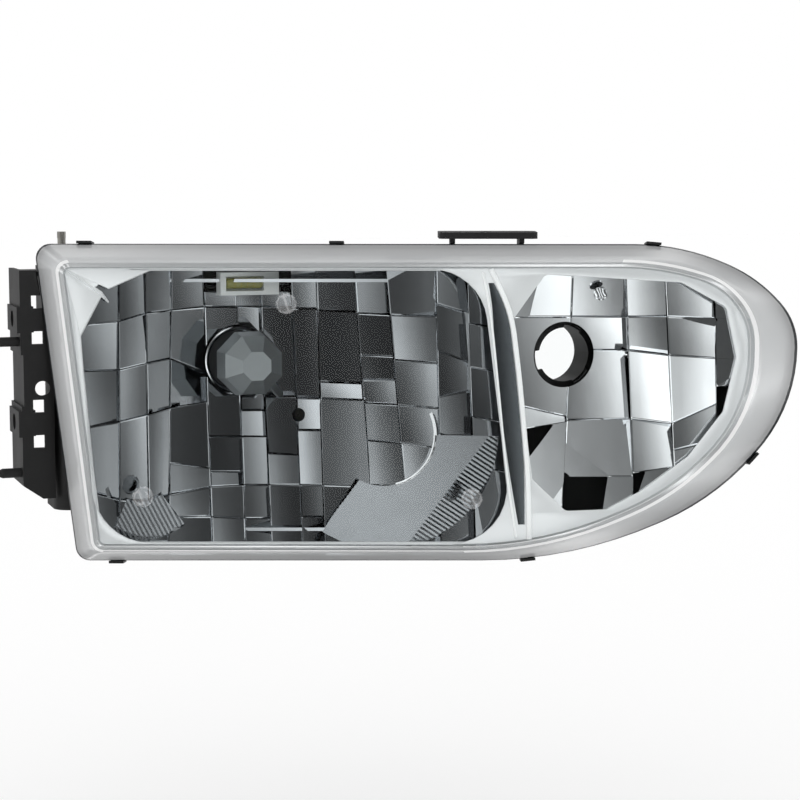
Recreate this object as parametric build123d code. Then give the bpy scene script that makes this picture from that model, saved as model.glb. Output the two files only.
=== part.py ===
"""Car headlamp assembly with an aimable reflector and a built-in turn-signal chamber.

Axes: +Z up, the lamp faces -Y, +X is to the right of a person looking at its face.
Every piece is drawn from the centre of the lens face and written out relative to the
bolt hole of the top mounting tab, which is the reference point of the assembly.
"""
from build123d import *
import math
import os

# --- reference points and the swept-back lens plane --------------------------------------
TAB_HOLE = (71.0, 37.0, 99.0)          # upper face of the mounting tab, from the lens centre
LENS_YAW = 20.0                        # the lens face turns this far towards the fender
LENS_LEAN = 6.5                        # and leans back this far
WALL = 2.5                             # moulded wall of the housing and of the lens

# --- lens, rim channel and bezel, as depths along the lens normal ------------------------
RIM_Z = -28.0                          # back of the sloping lens skirt
LEDGE_Z = -30.0                        # underside of the lens ledge
FOOT_Z = -34.5                         # bottom of the lens foot, on the seal
CHANNEL_TOP_Z = -31.0
CHANNEL_FLOOR_Z = -36.0
CHANNEL_BACK_Z = -38.0
DOME_RADIUS = 3000.0                   # gentle doming of the lens face
DOME_APEX = 7.0
BEZEL_FRONT_Z = -8.0
BEZEL_BACK_Z = -10.0
BEZEL_FOOT_Z = -31.0
SHELL_BACK_Z = -66.0                   # back wall of the shallow part of the housing
PAD_RADIUS = 6.0                       # three dimpled aiming pads moulded on the lens
PADS = ((-68, 57.5), (-154, -58), (43, -59))
PAD_HEIGHT = 1.0
DIMPLE_RADIUS = 14.5
CLIPS = ((-194, 112), (-39, 112), (157, 110), (-174, -112), (80, -112), (228, -46))  # beyond the rim
CLIP_WIDTH = 9.0
CLIP_STRIP = 1.2                       # thickness of the clip's spring strip
CLIP_GAP = 0.5
CLIP_HOOK = 4.6
FINS = ((((50, 77), (54, 40), (64, -45), (70, -83)), 1.4),
        (((55, 79), (67, 50), (72, 10), (77, -48), (78, -84)), 2.4))

# --- headlamp chamber ---------------------------------------------------------------------
BULB = (-71.0, 17.0)                   # X and Z of the bulb axis, which runs along Y
POD_BACK_Y = 150.0                     # rear face of the deep part of the housing
POD_LEFT_X = -188.0
POD_Z = (-74.0, 78.0)
REFLECTOR_RIM_Z = -22.0                # depth of the reflector rim behind the lens plane
REFLECTOR_BACK_Y = 122.0
REFLECTOR_WALL = 2.0
NECK_RADIUS = 18.9                     # bulb opening of the reflector
NECK_WALL = 2.6
NECK_END_Y = 136.0
LEVEL = (-75.0, 68.0, 68.0)            # centre of the aiming level's holder
LEVEL_SIZE = (37.0, 10.0, 14.0)
VIAL_RADIUS = 3.2
VIAL_LENGTH = 23.9
SHIELD_SCREW = (-28.0, -21.0)          # X and Z of the bulb shield's foot
SHIELD_Y = (61.4, 70.0, 84.0)          # front face, shoulder and open end of the octagonal shield
SHIELD_R = (9.6, 19.6, 21.4)

# --- aiming gear: three ball joints in one plane ------------------------------------------
BALL_Y = 130.0
PIVOT = (-172.0, BALL_Y, -58.0)
UPPER_BALL = (-172.0, BALL_Y, 58.0)
SIDE_BALL = (0.0, BALL_Y, -58.0)
BALL_RADIUS = 4.0
ROD_RADIUS = 2.8
ROD_CLEARANCE = 0.3
GEAR_APEX_Y = 162.0                    # where the drive shaft axis meets the rod axis
SHAFT_TOP_Z = 98.0
GEARBOX_X = (-186.0, -158.0)
GEARBOX_Z = (44.0, 76.0)
GEARBOX_BACK_Y = 178.0

# --- signal chamber and rear cap ----------------------------------------------------------
SIGNAL = (114.7, 22.5)                 # X and Z of the signal bulb-socket bore
SIGNAL_BORE = 18.5
SIGNAL_BORE_Y = (16.0, 40.0)
LUG_CIRCLE = 16.9                      # radius inside the three bayonet lugs at the bore's front end
LUG_THICKNESS = 2.0
LUG_RELIEF = 3.0                       # depth of the wider ring that the lugs stand in
SIGNAL_BACK_Z = -52.0
SIGNAL_POSTS = ((150, 22), (96, -14))
CAP_RADIUS = 45.2
COLLAR_RADIUS = 42.5
VENT = (-125.0, -52.0)

# --- side bracket for the neighbouring corner lamp -------------------------------------------
BRACKET_X = (-208.0, POD_LEFT_X)
BRACKET_Y = (110.0, 150.0)
BRACKET_SOCKETS = (45.5, -19.0)        # heights of its two sockets and two pegs
BRACKET_PEGS = (31.8, -50.0)

yaw = math.radians(LENS_YAW)
lean = math.radians(LENS_LEAN)
across = (math.cos(yaw), -math.sin(yaw), 0)
normal = (-math.sin(yaw) * math.cos(lean), -math.cos(yaw) * math.cos(lean), math.sin(lean))
LENS = Plane(origin=(0, 0, 0), x_dir=across, z_dir=normal)


def write(shape, node):
    """Write one node, moved so that the tab's bolt hole is the origin."""
    export_step(Pos(*(-value for value in TAB_HOLE)) * shape, f"parts/{node}.step")


def on_lens(shape):
    """Place a shape drawn in lens coordinates (X across, Y up, Z out of the face)."""
    return LENS.location * shape


def along_y(x, y, z):
    """A location whose Z axis points along +Y, towards the rear."""
    return Location((x, y, z), (-90, 0, 0))


def rod_y(x, z, y0, y1, radius):
    return along_y(x, y0, z) * Cylinder(radius, y1 - y0, align=(Align.CENTER, Align.CENTER, Align.MIN))


def block(x, y, z):
    """A box given by its (low, high) ranges along the three axes."""
    low = (x[0], y[0], z[0])
    return Pos(*low) * Box(x[1] - x[0], y[1] - y[0], z[1] - z[0], align=(Align.MIN,) * 3)


def slab(face, z0, z1):
    """A flat lens-parallel slab of one outline between two depths."""
    return extrude(Pos(0, 0, z0) * face, amount=z1 - z0)


def grown(face, amount):
    return offset(face, amount=amount, kind=Kind.INTERSECTION) if amount else face


def outline(corners):
    """A convex outline from (x, y, radius) corners: straight sides joined by tangent arcs."""
    arcs = []
    for index, (x, y, radius) in enumerate(corners):
        corner = Vector(x, y)
        before = (Vector(*corners[index - 1][:2]) - corner).normalized()
        after = (Vector(*corners[(index + 1) % len(corners)][:2]) - corner).normalized()
        setback = radius / math.tan(math.radians(before.get_angle(after) / 2))
        arcs.append((corner + before * setback, corner + after * setback, before * -1))
    with BuildSketch() as sketch:
        with BuildLine():
            for index, (start, end, direction) in enumerate(arcs):
                Line(arcs[index - 1][1], start)
                TangentArc(start, end, tangent=direction)
        make_face()
    return sketch.sketch.faces()[0]


def polygon(points, radius):
    """A polygon with every corner rounded."""
    with BuildSketch() as sketch:
        with BuildLine():
            Polyline(*points, close=True)
        make_face()
        fillet(sketch.vertices(), radius=radius)
    return sketch.sketch.faces()[0]


RIM_NOSE = ((174, 95.7, 140), (220, 75, 90), (244.3, 48, 40), (243.5, -0.5, 98),
            (199, -58, 160), (107, -98.5, 270))
FACE_NOSE = ((158, 83.3, 160), (197, 71, 45), (214, 48, 40), (214, -10, 90),
             (163, -58, 150), (88, -90.8, 240))
rim_face = outline(((-225, 96, 9), *RIM_NOSE, (-198, -98.5, 9)))
shell_face = outline(((-225, 96, 30), *RIM_NOSE, (-198, -98.5, 30)))
front_face = outline(((-207, 83.3, 7), *FACE_NOSE, (-184, -90.8, 7)))
main_opening = polygon(((-196, 79), (49, 79), (69, -87), (-183, -86)), 34)
reflector_rim = polygon(((-191, 74), (40, 74), (57, -80), (-178, -80)), 30)
SIGNAL_OUTLINE = ((88, 76), (170, 71), (197, 56), (203, 26), (195, -7), (174, -34), (147, -54),
                  (125, -66), (100, -67), (80, -48), (68, 48))
signal_opening = polygon(SIGNAL_OUTLINE, 5)


# --- lens -----------------------------------------------------------------------------------
def skirt_body(inset, back_z):
    """The sloping skirt and the face prism, cut off by the domed front surface."""
    lower = Pos(0, 0, back_z) * grown(rim_face, -inset)
    upper = grown(front_face, -inset)
    body = loft([lower, upper], ruled=True) + extrude(upper, amount=12)
    dome = Pos(0, 0, DOME_APEX - inset - DOME_RADIUS) * Sphere(DOME_RADIUS)
    return body & dome


def dome_height(x, y):
    return DOME_APEX - (x * x + y * y) / (2 * DOME_RADIUS)


def lens():
    shell = skirt_body(0, RIM_Z) - skirt_body(WALL, RIM_Z)
    foot_outer = grown(rim_face, -2.2)
    foot_inner = grown(rim_face, -2.2 - WALL)
    ledge = slab(rim_face, LEDGE_Z, RIM_Z) - slab(foot_inner, LEDGE_Z, RIM_Z)
    foot = slab(foot_outer, FOOT_Z, LEDGE_Z) - slab(foot_inner, FOOT_Z, LEDGE_Z)
    body = shell + ledge + foot
    for x, y in PADS:
        top = dome_height(x, y) + PAD_HEIGHT
        body += Pos(x, y, top - WALL * 0.6) * Cylinder(PAD_RADIUS, WALL * 1.2)
        body -= Pos(x, y, top + DIMPLE_RADIUS - 0.9) * Sphere(DIMPLE_RADIUS)
    return on_lens(body)


def lens_seal():
    ring = slab(grown(rim_face, -1.9), CHANNEL_FLOOR_Z, FOOT_Z)
    return on_lens(ring - slab(grown(rim_face, -5.1), CHANNEL_FLOOR_Z, FOOT_Z))


def lens_clips():
    """Spring clips that hook the lens ledge to the underside of the channel."""
    wide = (-CLIP_WIDTH / 2, CLIP_WIDTH / 2)
    leg = (CLIP_GAP, CLIP_GAP + CLIP_STRIP)
    top = LEDGE_Z + WALL + CLIP_GAP
    back = CHANNEL_BACK_Z - CLIP_GAP
    clip = block(leg, wide, (back - CLIP_STRIP, top + CLIP_STRIP))
    clip += block((-CLIP_HOOK, leg[1]), wide, (back - CLIP_STRIP, back))
    clip += block((0.1, leg[1]), wide, (top, top + CLIP_STRIP))
    placed = []
    for x, y in CLIPS:
        beyond = Vector(x, y)
        _, on_rim, _ = rim_face.outer_wire().distance_to_with_closest_points(beyond)
        out = beyond - on_rim
        placed.append(Pos(on_rim) * Rot(0, 0, math.degrees(math.atan2(out.Y, out.X))) * clip)
    return on_lens(Compound(children=placed))


# --- housing --------------------------------------------------------------------------------
def pod_block(inset):
    """The deep box behind the headlamp reflector."""
    plan = ((POD_LEFT_X, 112), (POD_LEFT_X, POD_BACK_Y), (8, POD_BACK_Y), (62, 42), (62, 24))
    with BuildSketch(Plane.XY) as sketch:
        with BuildLine():
            Polyline(*plan, close=True)
        make_face()
        fillet(sketch.vertices().sort_by(Axis.Y)[-3:], radius=10)
    face = grown(sketch.sketch.faces()[0], -inset)
    return extrude(Pos(0, 0, POD_Z[0] + inset) * face, amount=POD_Z[1] - POD_Z[0] - 2 * inset)


def shallow_block(inset, front_z):
    front = Pos(0, 0, front_z) * grown(shell_face, -5.2 - inset)
    back = Pos(0, 0, SHELL_BACK_Z + inset) * grown(shell_face, -16.0 - inset)
    return on_lens(loft([front, back], ruled=True))


def housing_outside():
    return shallow_block(0, CHANNEL_FLOOR_Z) + pod_block(0)


def rim_envelope(inset, front_z):
    """Flat-sided room for the lens and its channel, or, inset, for the shell just behind them."""
    corners = ((inset - 226, 97), (110, 97), (110, -100), (inset - 199, -100))
    with BuildSketch() as sketch:
        with BuildLine():
            Polyline(*corners, close=True)
        make_face()
    depth = 14 if inset else -CHANNEL_BACK_Z + front_z
    return on_lens(slab(sketch.sketch.faces()[0], front_z - depth - 0.4, front_z))


def housing():
    channel = slab(rim_face, CHANNEL_BACK_Z, CHANNEL_TOP_Z)
    channel -= slab(grown(rim_face, -1.8), CHANNEL_FLOOR_Z, CHANNEL_TOP_Z)
    inner_wall = slab(grown(rim_face, -5.2), CHANNEL_BACK_Z, CHANNEL_TOP_Z)
    body = on_lens(channel + inner_wall) + housing_outside()
    hollow = shallow_block(WALL, CHANNEL_FLOOR_Z) + pod_block(WALL)
    hollow += on_lens(slab(grown(rim_face, -5.2 - WALL), CHANNEL_FLOOR_Z, CHANNEL_TOP_Z + 1))
    hollow += on_lens(slab(grown(shell_face, -5.2 - WALL), CHANNEL_BACK_Z - 1, CHANNEL_FLOOR_Z))
    body -= hollow
    body += socket_collar()
    body -= rod_y(*SIGNAL, SIGNAL_BORE_Y[0] - 1, SIGNAL_BORE_Y[1] + 1, SIGNAL_BORE)
    body -= rod_y(*SIGNAL, SIGNAL_BORE_Y[0] - 1, SIGNAL_BORE_Y[0] + LUG_RELIEF, SIGNAL_BORE + 1)
    body += socket_lugs()
    body += rod_y(*BULB, POD_BACK_Y - WALL, POD_BACK_Y + 6, COLLAR_RADIUS)
    body -= rod_y(*BULB, POD_BACK_Y - 20, POD_BACK_Y + 7, COLLAR_RADIUS - WALL)
    for x, z, radius in wall_holes():
        body -= rod_y(x, z, POD_BACK_Y - 10, POD_BACK_Y + 3, radius)
    for x, y in SIGNAL_POSTS:
        body -= on_lens(Pos(x, y, SHELL_BACK_Z) * Cylinder(2.0, 20))
    return body


def wall_holes():
    """Holes in the rear wall: pivot stud, the two aiming rods and the vent."""
    return (PIVOT[0], PIVOT[2], 3.0), (UPPER_BALL[0], UPPER_BALL[2], 4.0), \
        (SIDE_BALL[0], SIDE_BALL[2], 6.3), (*VENT, 3.0)


def socket_collar():
    return rod_y(*SIGNAL, *SIGNAL_BORE_Y, SIGNAL_BORE + WALL + 1)


def socket_lugs():
    """Three bayonet lugs at the front end of the signal bore."""
    y0 = SIGNAL_BORE_Y[0]
    y1 = y0 + LUG_THICKNESS
    ring = rod_y(*SIGNAL, y0, y1, SIGNAL_BORE + 1.5) - rod_y(*SIGNAL, y0 - 1, y1 + 1, LUG_CIRCLE)
    for angle in (20, 140, 260):
        turn = Pos(SIGNAL[0], 0, SIGNAL[1]) * Rot(0, angle, 0)
        ring -= turn * block((-6, 6), (y0 - 1, y1 + 1), (0, SIGNAL_BORE + 0.9))
    return ring


def housing_ribs():
    """Stiffening ribs on the rear face, between the cap collar and the adjusters."""
    ribs = [block((-150, -124), (POD_BACK_Y, POD_BACK_Y + 4), (z - 1.2, z + 1.2)) for z in (-20, 0, 20, 40)]
    ribs += [block((x - 1.2, x + 1.2), (POD_BACK_Y, POD_BACK_Y + 4), (-72, -40)) for x in (-90, -70, -50)]
    return Compound(children=ribs)


def top_tab():
    """Mounting tab with its bolt hole, carried on two gussets."""
    plan = ((37, 31), (94, 10), (106, 42), (48, 63))
    with BuildSketch(Plane.XY) as sketch:
        with BuildLine():
            Polyline(*plan, close=True)
        make_face()
        fillet(sketch.vertices(), radius=5)
    x, y, z = TAB_HOLE
    tab = extrude(Pos(0, 0, z - 4) * sketch.sketch.faces()[0], amount=4)
    for dx, dy in ((-20, 8), (20, -7)):
        tab += Pos(x + dx, y + dy, z - 14) * Rot(0, 0, -LENS_YAW) * Box(3, 30, 28)
    tab -= Pos(x, y, z) * Cylinder(3.6, 20)
    tab -= Pos(x, y, z - 14) * Cylinder(9, 20)
    return tab - housing_outside() - rim_envelope(0, 5)


def side_bracket():
    """Side bracket that carries the neighbouring corner lamp: sockets face -X, pegs point -X."""
    x0, x1 = BRACKET_X
    y0, y1 = BRACKET_Y
    body = block((x0, x1), (y0, y0 + 3), (-66, 76)) + block((x0, x0 + 3), (y0, y1), (-58, 76))
    for z in (74, 12, -40):
        body += block((x0, x1), (y0, y1 - 2), (z - 2, z + 1))
    for z in BRACKET_SOCKETS:
        body += block((x0 - 2, x0 + 9), (y0, y0 + 36), (z - 8, z + 8))
        body -= Pos(x0, y0 + 18, z) * Rot(0, 90, 0) * Cylinder(5.2, 30)
        for dz in (-11, 11):
            body -= block((x1 - 13, x1 - 6), (y0 - 1, y0 + 4), (z + dz - 4, z + dz + 4))
    body -= Pos(x1 - 7, y0, 3) * Rot(90, 0, 0) * Cylinder(4.6, 20)
    body -= block((x0 - 3, x0 + 1.5), (y0 - 1, y1 + 1), (-8, 24))
    wedge = Pos(x0, y0, -66) * Rot(0, 35, 0) * Box(30, 100, 14)
    body -= wedge
    for z in BRACKET_PEGS:
        body += Pos(x0 + 3, y0 + 8, z) * Rot(0, -90, 0) * Cylinder(
            3.0, 14.5, align=(Align.CENTER, Align.CENTER, Align.MIN))
        body += Pos(x0 - 11.5, y0 + 8, z) * Rot(0, -90, 0) * Cone(
            3.0, 2.0, 2.5, align=(Align.CENTER, Align.CENTER, Align.MIN))
    return body - rim_envelope(0, 5) - rim_envelope(6, CHANNEL_BACK_Z)


# --- bezel and signal chamber ---------------------------------------------------------------
def bezel():
    """Bright trim: face plate with two openings, a sloping skirt and two curved fins."""
    edge = grown(front_face, -3.5)
    foot = grown(rim_face, -5.4)
    body = loft([Pos(0, 0, BEZEL_FOOT_Z) * foot, Pos(0, 0, BEZEL_FRONT_Z) * edge], ruled=True)
    body -= loft([Pos(0, 0, BEZEL_FOOT_Z) * grown(foot, -1.6), Pos(0, 0, BEZEL_BACK_Z) * grown(edge, -1.6)],
                 ruled=True)
    for opening in (main_opening, signal_opening):
        body -= slab(opening, BEZEL_BACK_Z - 1, BEZEL_FRONT_Z + 1)
    for points, thickness in FINS:
        path = Spline(*points)
        fin = extrude(Pos(0, 0, BEZEL_BACK_Z) * trace(path, thickness), amount=6)
        body += fin & slab(edge, BEZEL_BACK_Z - 1, 0)
    return on_lens(body)


def signal_block(inset, front_z, back_z):
    face = grown(signal_opening, 2.0 - inset)
    back = Pos(80, 30, back_z) * scale(Pos(-80, -30, 0) * face, by=0.5)
    return loft([Pos(0, 0, front_z) * face, back], ruled=True)


def signal_reflector():
    outside = signal_block(0, BEZEL_BACK_Z, SIGNAL_BACK_Z - 2)
    for x, y in SIGNAL_POSTS:
        outside += Pos(x, y, 0) * block_post()
    shell = outside - signal_block(2.0, BEZEL_BACK_Z, SIGNAL_BACK_Z)
    for x, y in SIGNAL_POSTS:
        shell -= Pos(x, y, SHELL_BACK_Z + 6) * Cylinder(1.6, 16)
    return on_lens(shell) - rod_y(*SIGNAL, -60, 60, SIGNAL_BORE + WALL + 1.3)


def block_post():
    """A screw post behind the signal reflector."""
    length = -20 - (SHELL_BACK_Z + WALL)
    post = Cylinder(4, length, align=(Align.CENTER, Align.CENTER, Align.MIN))
    return Pos(0, 0, SHELL_BACK_Z + WALL) * post


def signal_screws():
    screws = []
    for x, y in SIGNAL_POSTS:
        head = Pos(x, y, SHELL_BACK_Z - 1.25) * Cylinder(4, 2.5)
        head -= Pos(x, y, SHELL_BACK_Z - 2.5) * (Box(4, 1, 2) + Box(1, 4, 2))
        shank = Pos(x, y, SHELL_BACK_Z) * Cylinder(1.5, 12, align=(Align.CENTER, Align.CENTER, Align.MIN))
        screws.append(head + shank)
    return on_lens(Compound(children=screws))


# --- headlamp reflector ---------------------------------------------------------------------
def reflector_block(inset):
    front = on_lens(Pos(0, 0, REFLECTOR_RIM_Z + inset * 0.01) * grown(reflector_rim, -inset))
    half_x = 55.0 - inset
    half_z = 52.0 - inset
    back_centre = (BULB[0], REFLECTOR_BACK_Y - inset, BULB[1] - 3)
    back_plane = Plane(origin=back_centre, x_dir=(1, 0, 0), z_dir=(0, -1, 0))
    corners = ((-half_x, half_z), (half_x, half_z), (half_x, -half_z), (-half_x, -half_z))
    back = back_plane.location * polygon(corners, 28 - inset)
    return loft([front, back], ruled=True)


def headlamp_reflector():
    """Metallised reflector shell with its bulb neck and three ball-joint bosses."""
    px, py, pz = PIVOT
    body = reflector_block(0)
    body += block((px - 5, -106), (114, 126), (-66, -20))
    body += block((px - 5, -112), (114, 126), (UPPER_BALL[2] - 16, UPPER_BALL[2] + 7))
    body += block((SIDE_BALL[0] - 5, SIDE_BALL[0] + 5), (92, 126), (-64, -26))
    body += rod_y(*BULB, REFLECTOR_BACK_Y - 6, NECK_END_Y, NECK_RADIUS + NECK_WALL)
    for x, y, z in (PIVOT, UPPER_BALL, SIDE_BALL):
        body += rod_y(x, z, y - 10, y + 7.5, 9.6)
    body -= reflector_block(REFLECTOR_WALL)
    body -= rod_y(*BULB, REFLECTOR_BACK_Y - 30, NECK_END_Y + 1, NECK_RADIUS)
    body -= Pos(*PIVOT) * Sphere(7.3)
    body -= rod_y(px, pz, py, py + 9, 6.0)
    for x, y, z in (UPPER_BALL, SIDE_BALL):
        body -= rod_y(x, z, y - 6.5, y + 9, 7.0)
    body -= level_box()
    body -= rod_y(*SHIELD_SCREW, 100, 125, 1.5)
    return body


def cup_pair():
    """Nylon ball cups pressed into the two adjuster bosses."""
    cups = []
    for x, y, z in (UPPER_BALL, SIDE_BALL):
        cup = rod_y(x, z, y - 6.5, y + 7.5, 7.0) - Pos(x, y, z) * Sphere(BALL_RADIUS + 0.6)
        cup -= rod_y(x, z, y, y + 9, 4.0)
        cups.append(cup)
    return Compound(children=cups)


def pivot_cup():
    """Ball-shaped nylon cup between the fixed stud and the reflector."""
    x, y, z = PIVOT
    cup = Pos(*PIVOT) * Sphere(7.0) - Pos(*PIVOT) * Sphere(BALL_RADIUS + 0.3)
    cup -= rod_y(x, z, y, y + 9, 3.8)
    return cup & block((x - 8, x + 8), (y - 8, y + 5), (z - 8, z + 8))


def level_box():
    x, y, z = LEVEL
    length, depth, height = LEVEL_SIZE
    return Pos(x, y, z) * Box(length, depth, height)


def level_holder():
    body = level_box()
    body -= block((-90, -66), (58, 72), (63.5, 72.5))
    return body


def level_vial():
    """Spirit vial of the aiming level."""
    x, y, z = LEVEL
    return Pos(x - 3, y - 0.5, z) * Rot(0, 90, 0) * Cylinder(VIAL_RADIUS, VIAL_LENGTH)


def octagon(y, radius):
    plane = Plane(origin=(BULB[0], y, BULB[1]), x_dir=(1, 0, 0), z_dir=(0, -1, 0))
    return plane.location * RegularPolygon(radius, 8, rotation=22.5).faces()[0]


def shield_block(inset):
    y_front, y_mid, y_back = SHIELD_Y
    r_front, r_mid, r_back = (radius - inset for radius in SHIELD_R)
    sections = [octagon(y_front + inset, r_front), octagon(y_mid + inset * 0.4, r_mid)]
    cap = loft(sections, ruled=True)
    return cap + loft([sections[1], octagon(y_back + inset * 0.01, r_back)], ruled=True)


def bulb_shield():
    """Octagonal glare cap over the bulb tip, on a leg with a screwed foot."""
    body = shield_block(0) - shield_block(1.2)
    foot_x, foot_z = SHIELD_SCREW
    start = Vector(BULB[0] + 14.5, 81, BULB[1] - 13.5)
    end = Vector(foot_x, REFLECTOR_BACK_Y - 3.4, foot_z)
    path = Line(start, end)
    plane = Plane(origin=start, x_dir=(0, 0, 1), z_dir=(end - start))
    leg = sweep(plane * Rectangle(6, 1.6), path=path)
    foot = rod_y(foot_x, foot_z, REFLECTOR_BACK_Y - 3.6, REFLECTOR_BACK_Y - REFLECTOR_WALL, 6)
    leg -= shield_block(0) + rod_y(foot_x, foot_z, 100, REFLECTOR_BACK_Y - 3.6, 4)
    return body + leg + foot - rod_y(foot_x, foot_z, 100, 130, 1.5)


def shield_screw():
    x, z = SHIELD_SCREW
    y = REFLECTOR_BACK_Y - 3.6
    head = rod_y(x, z, y - 2, y, 3.4)
    head -= Pos(x, y - 2, z) * (Box(4, 2, 0.9) + Box(0.9, 2, 4))
    return head + rod_y(x, z, y, y + 9, 1.45)


# --- bulb -----------------------------------------------------------------------------------
def bulb_glass():
    body = rod_y(*BULB, 80, 124, 6.2) + Pos(BULB[0], 80, BULB[1]) * Sphere(6.2)
    return body - rod_y(*BULB, 80, 123, 5.3) - Pos(BULB[0], 80, BULB[1]) * Sphere(5.3)


def bulb_filaments():
    """Two tungsten coils on their support wires."""
    pieces = []
    for z, y0 in ((2.0, 88.0), (-2.0, 94.0)):
        coil = rod_y(BULB[0], BULB[1] + z, y0, y0 + 7, 0.9)
        wire = rod_y(BULB[0], BULB[1] + z, y0 + 7, 123, 0.4)
        pieces.append(coil + wire)
    return Compound(children=pieces)


def bulb_base():
    body = rod_y(*BULB, 124, 136.2, 18.4) + rod_y(*BULB, 136.2, 139.5, 24.0)
    body += block((BULB[0] - 11, BULB[0] + 11), (139.5, 164), (BULB[1] - 8, BULB[1] + 8))
    body -= block((BULB[0] - 9.5, BULB[0] + 9.5), (147, 165), (BULB[1] - 6.5, BULB[1] + 6.5))
    groove = rod_y(*BULB, 127, 130, 19) - rod_y(*BULB, 127, 130, 17.0)
    return body - groove


def bulb_o_ring():
    return rod_y(*BULB, 127, 130, 18.85) - rod_y(*BULB, 127, 130, 17.0)


def bulb_terminals():
    blades = [block((BULB[0] + dx - 1.5, BULB[0] + dx + 1.5), (147, 159), (BULB[1] - 0.4, BULB[1] + 0.4))
              for dx in (-6, 0, 6)]
    return Compound(children=blades)


def bulb_locking_ring():
    ring = rod_y(*BULB, 129, 143, 28) - rod_y(*BULB, 128, 140, 24.5) - rod_y(*BULB, 139, 144, 16)
    for index in range(12):
        turn = Pos(BULB[0], 0, BULB[1]) * Rot(0, 30 * index, 0)
        ring += turn * block((27.5, 29.5), (131, 143), (-1.5, 1.5))
    return ring


# --- aiming gear ------------------------------------------------------------------------------
def ball_rod(centre, end_y):
    x, y, z = centre
    return Pos(x, y, z) * Sphere(BALL_RADIUS) + rod_y(x, z, y, end_y, ROD_RADIUS)


def pivot_stud():
    """Fixed ball stud with a hex flange inside the rear wall and a nut outside."""
    x, y, z = PIVOT
    wall_y = POD_BACK_Y - WALL
    flange = along_y(x, wall_y - 3, z) * extrude(RegularPolygon(6, 6), amount=3)
    return ball_rod(PIVOT, POD_BACK_Y + 7) + flange


def pivot_nut():
    x, _, z = PIVOT
    nut = along_y(x, POD_BACK_Y, z) * extrude(RegularPolygon(6, 6), amount=5)
    return nut - rod_y(x, z, POD_BACK_Y, POD_BACK_Y + 6, ROD_RADIUS)


def bevel(radius_large, radius_small, height, teeth):
    """A bevel gear blank with straight tooth gaps, small end at the origin, along +Z."""
    gear = Cone(radius_small, radius_large, height, align=(Align.CENTER, Align.CENTER, Align.MIN))
    for index in range(teeth):
        placed = Rot(0, 0, 360 * index / teeth) * Pos(radius_large, 0, height / 2)
        cutter = placed * Box(3.2, 1.4, height * 2)
        gear -= cutter
    return gear


def adjuster_gear():
    """Bevel gear whose threaded bore drives the upper rod."""
    x, _, z = UPPER_BALL
    gear = along_y(x, GEAR_APEX_Y + 4.2, z) * bevel(9.7, 3.7, 6, 12)
    gear += rod_y(x, z, GEAR_APEX_Y + 10.2, GEAR_APEX_Y + 13.5, 6)
    return gear - rod_y(x, z, GEAR_APEX_Y, GEAR_APEX_Y + 15, ROD_RADIUS + ROD_CLEARANCE)


def drive_shaft():
    """Vertical drive shaft with a bevel pinion below and a hex tip above the housing."""
    x, _, z = UPPER_BALL
    shaft = Pos(x, GEAR_APEX_Y, z + 4.2) * bevel(9.7, 3.7, 6, 12)
    stem = Cylinder(2.6, 25.8, align=(Align.CENTER, Align.CENTER, Align.MIN))
    shaft += Pos(x, GEAR_APEX_Y, z + 10.2) * stem
    tip_z = z + 36
    return shaft + extrude(Pos(x, GEAR_APEX_Y, tip_z) * RegularPolygon(2.8, 6), amount=SHAFT_TOP_Z - tip_z)


def adjuster_gearbox():
    x, _, z = UPPER_BALL
    body = block(GEARBOX_X, (POD_BACK_Y, GEARBOX_BACK_Y), GEARBOX_Z)
    body -= block((GEARBOX_X[0] + 2, GEARBOX_X[1] - 2), (POD_BACK_Y + 2, GEARBOX_BACK_Y + 1),
                  (GEARBOX_Z[0] + 2, GEARBOX_Z[1] - 4))
    body -= rod_y(x, z, POD_BACK_Y - 1, POD_BACK_Y + 3, 4.0)
    return body - Pos(x, GEAR_APEX_Y, GEARBOX_Z[1]) * Cylinder(2.9, 20)


def gearbox_cover():
    x, _, z = UPPER_BALL
    cover = block(GEARBOX_X, (GEARBOX_BACK_Y, GEARBOX_BACK_Y + 2), GEARBOX_Z)
    cover += rod_y(x, z, GEARBOX_BACK_Y + 2, GEARBOX_BACK_Y + 4, 6)
    return cover - rod_y(x, z, GEARBOX_BACK_Y - 1, GEARBOX_BACK_Y + 5, 3.5)


def side_bushing():
    """Flanged bush in the rear wall that carries the side adjuster's wheel."""
    x, _, z = SIDE_BALL
    body = rod_y(x, z, POD_BACK_Y, POD_BACK_Y + 2, 12) + rod_y(x, z, POD_BACK_Y + 2, POD_BACK_Y + 7, 9)
    return body - rod_y(x, z, POD_BACK_Y - 1, POD_BACK_Y + 8, 6.3)


def side_wheel():
    """Adjuster wheel: a hub in the bush and a hexagonal head behind it."""
    x, _, z = SIDE_BALL
    body = rod_y(x, z, POD_BACK_Y, POD_BACK_Y + 7.5, 6.0)
    body += along_y(x, POD_BACK_Y + 7.5, z) * extrude(RegularPolygon(9, 6), amount=8)
    return body - rod_y(x, z, POD_BACK_Y - 1, POD_BACK_Y + 16, ROD_RADIUS + ROD_CLEARANCE)


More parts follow.
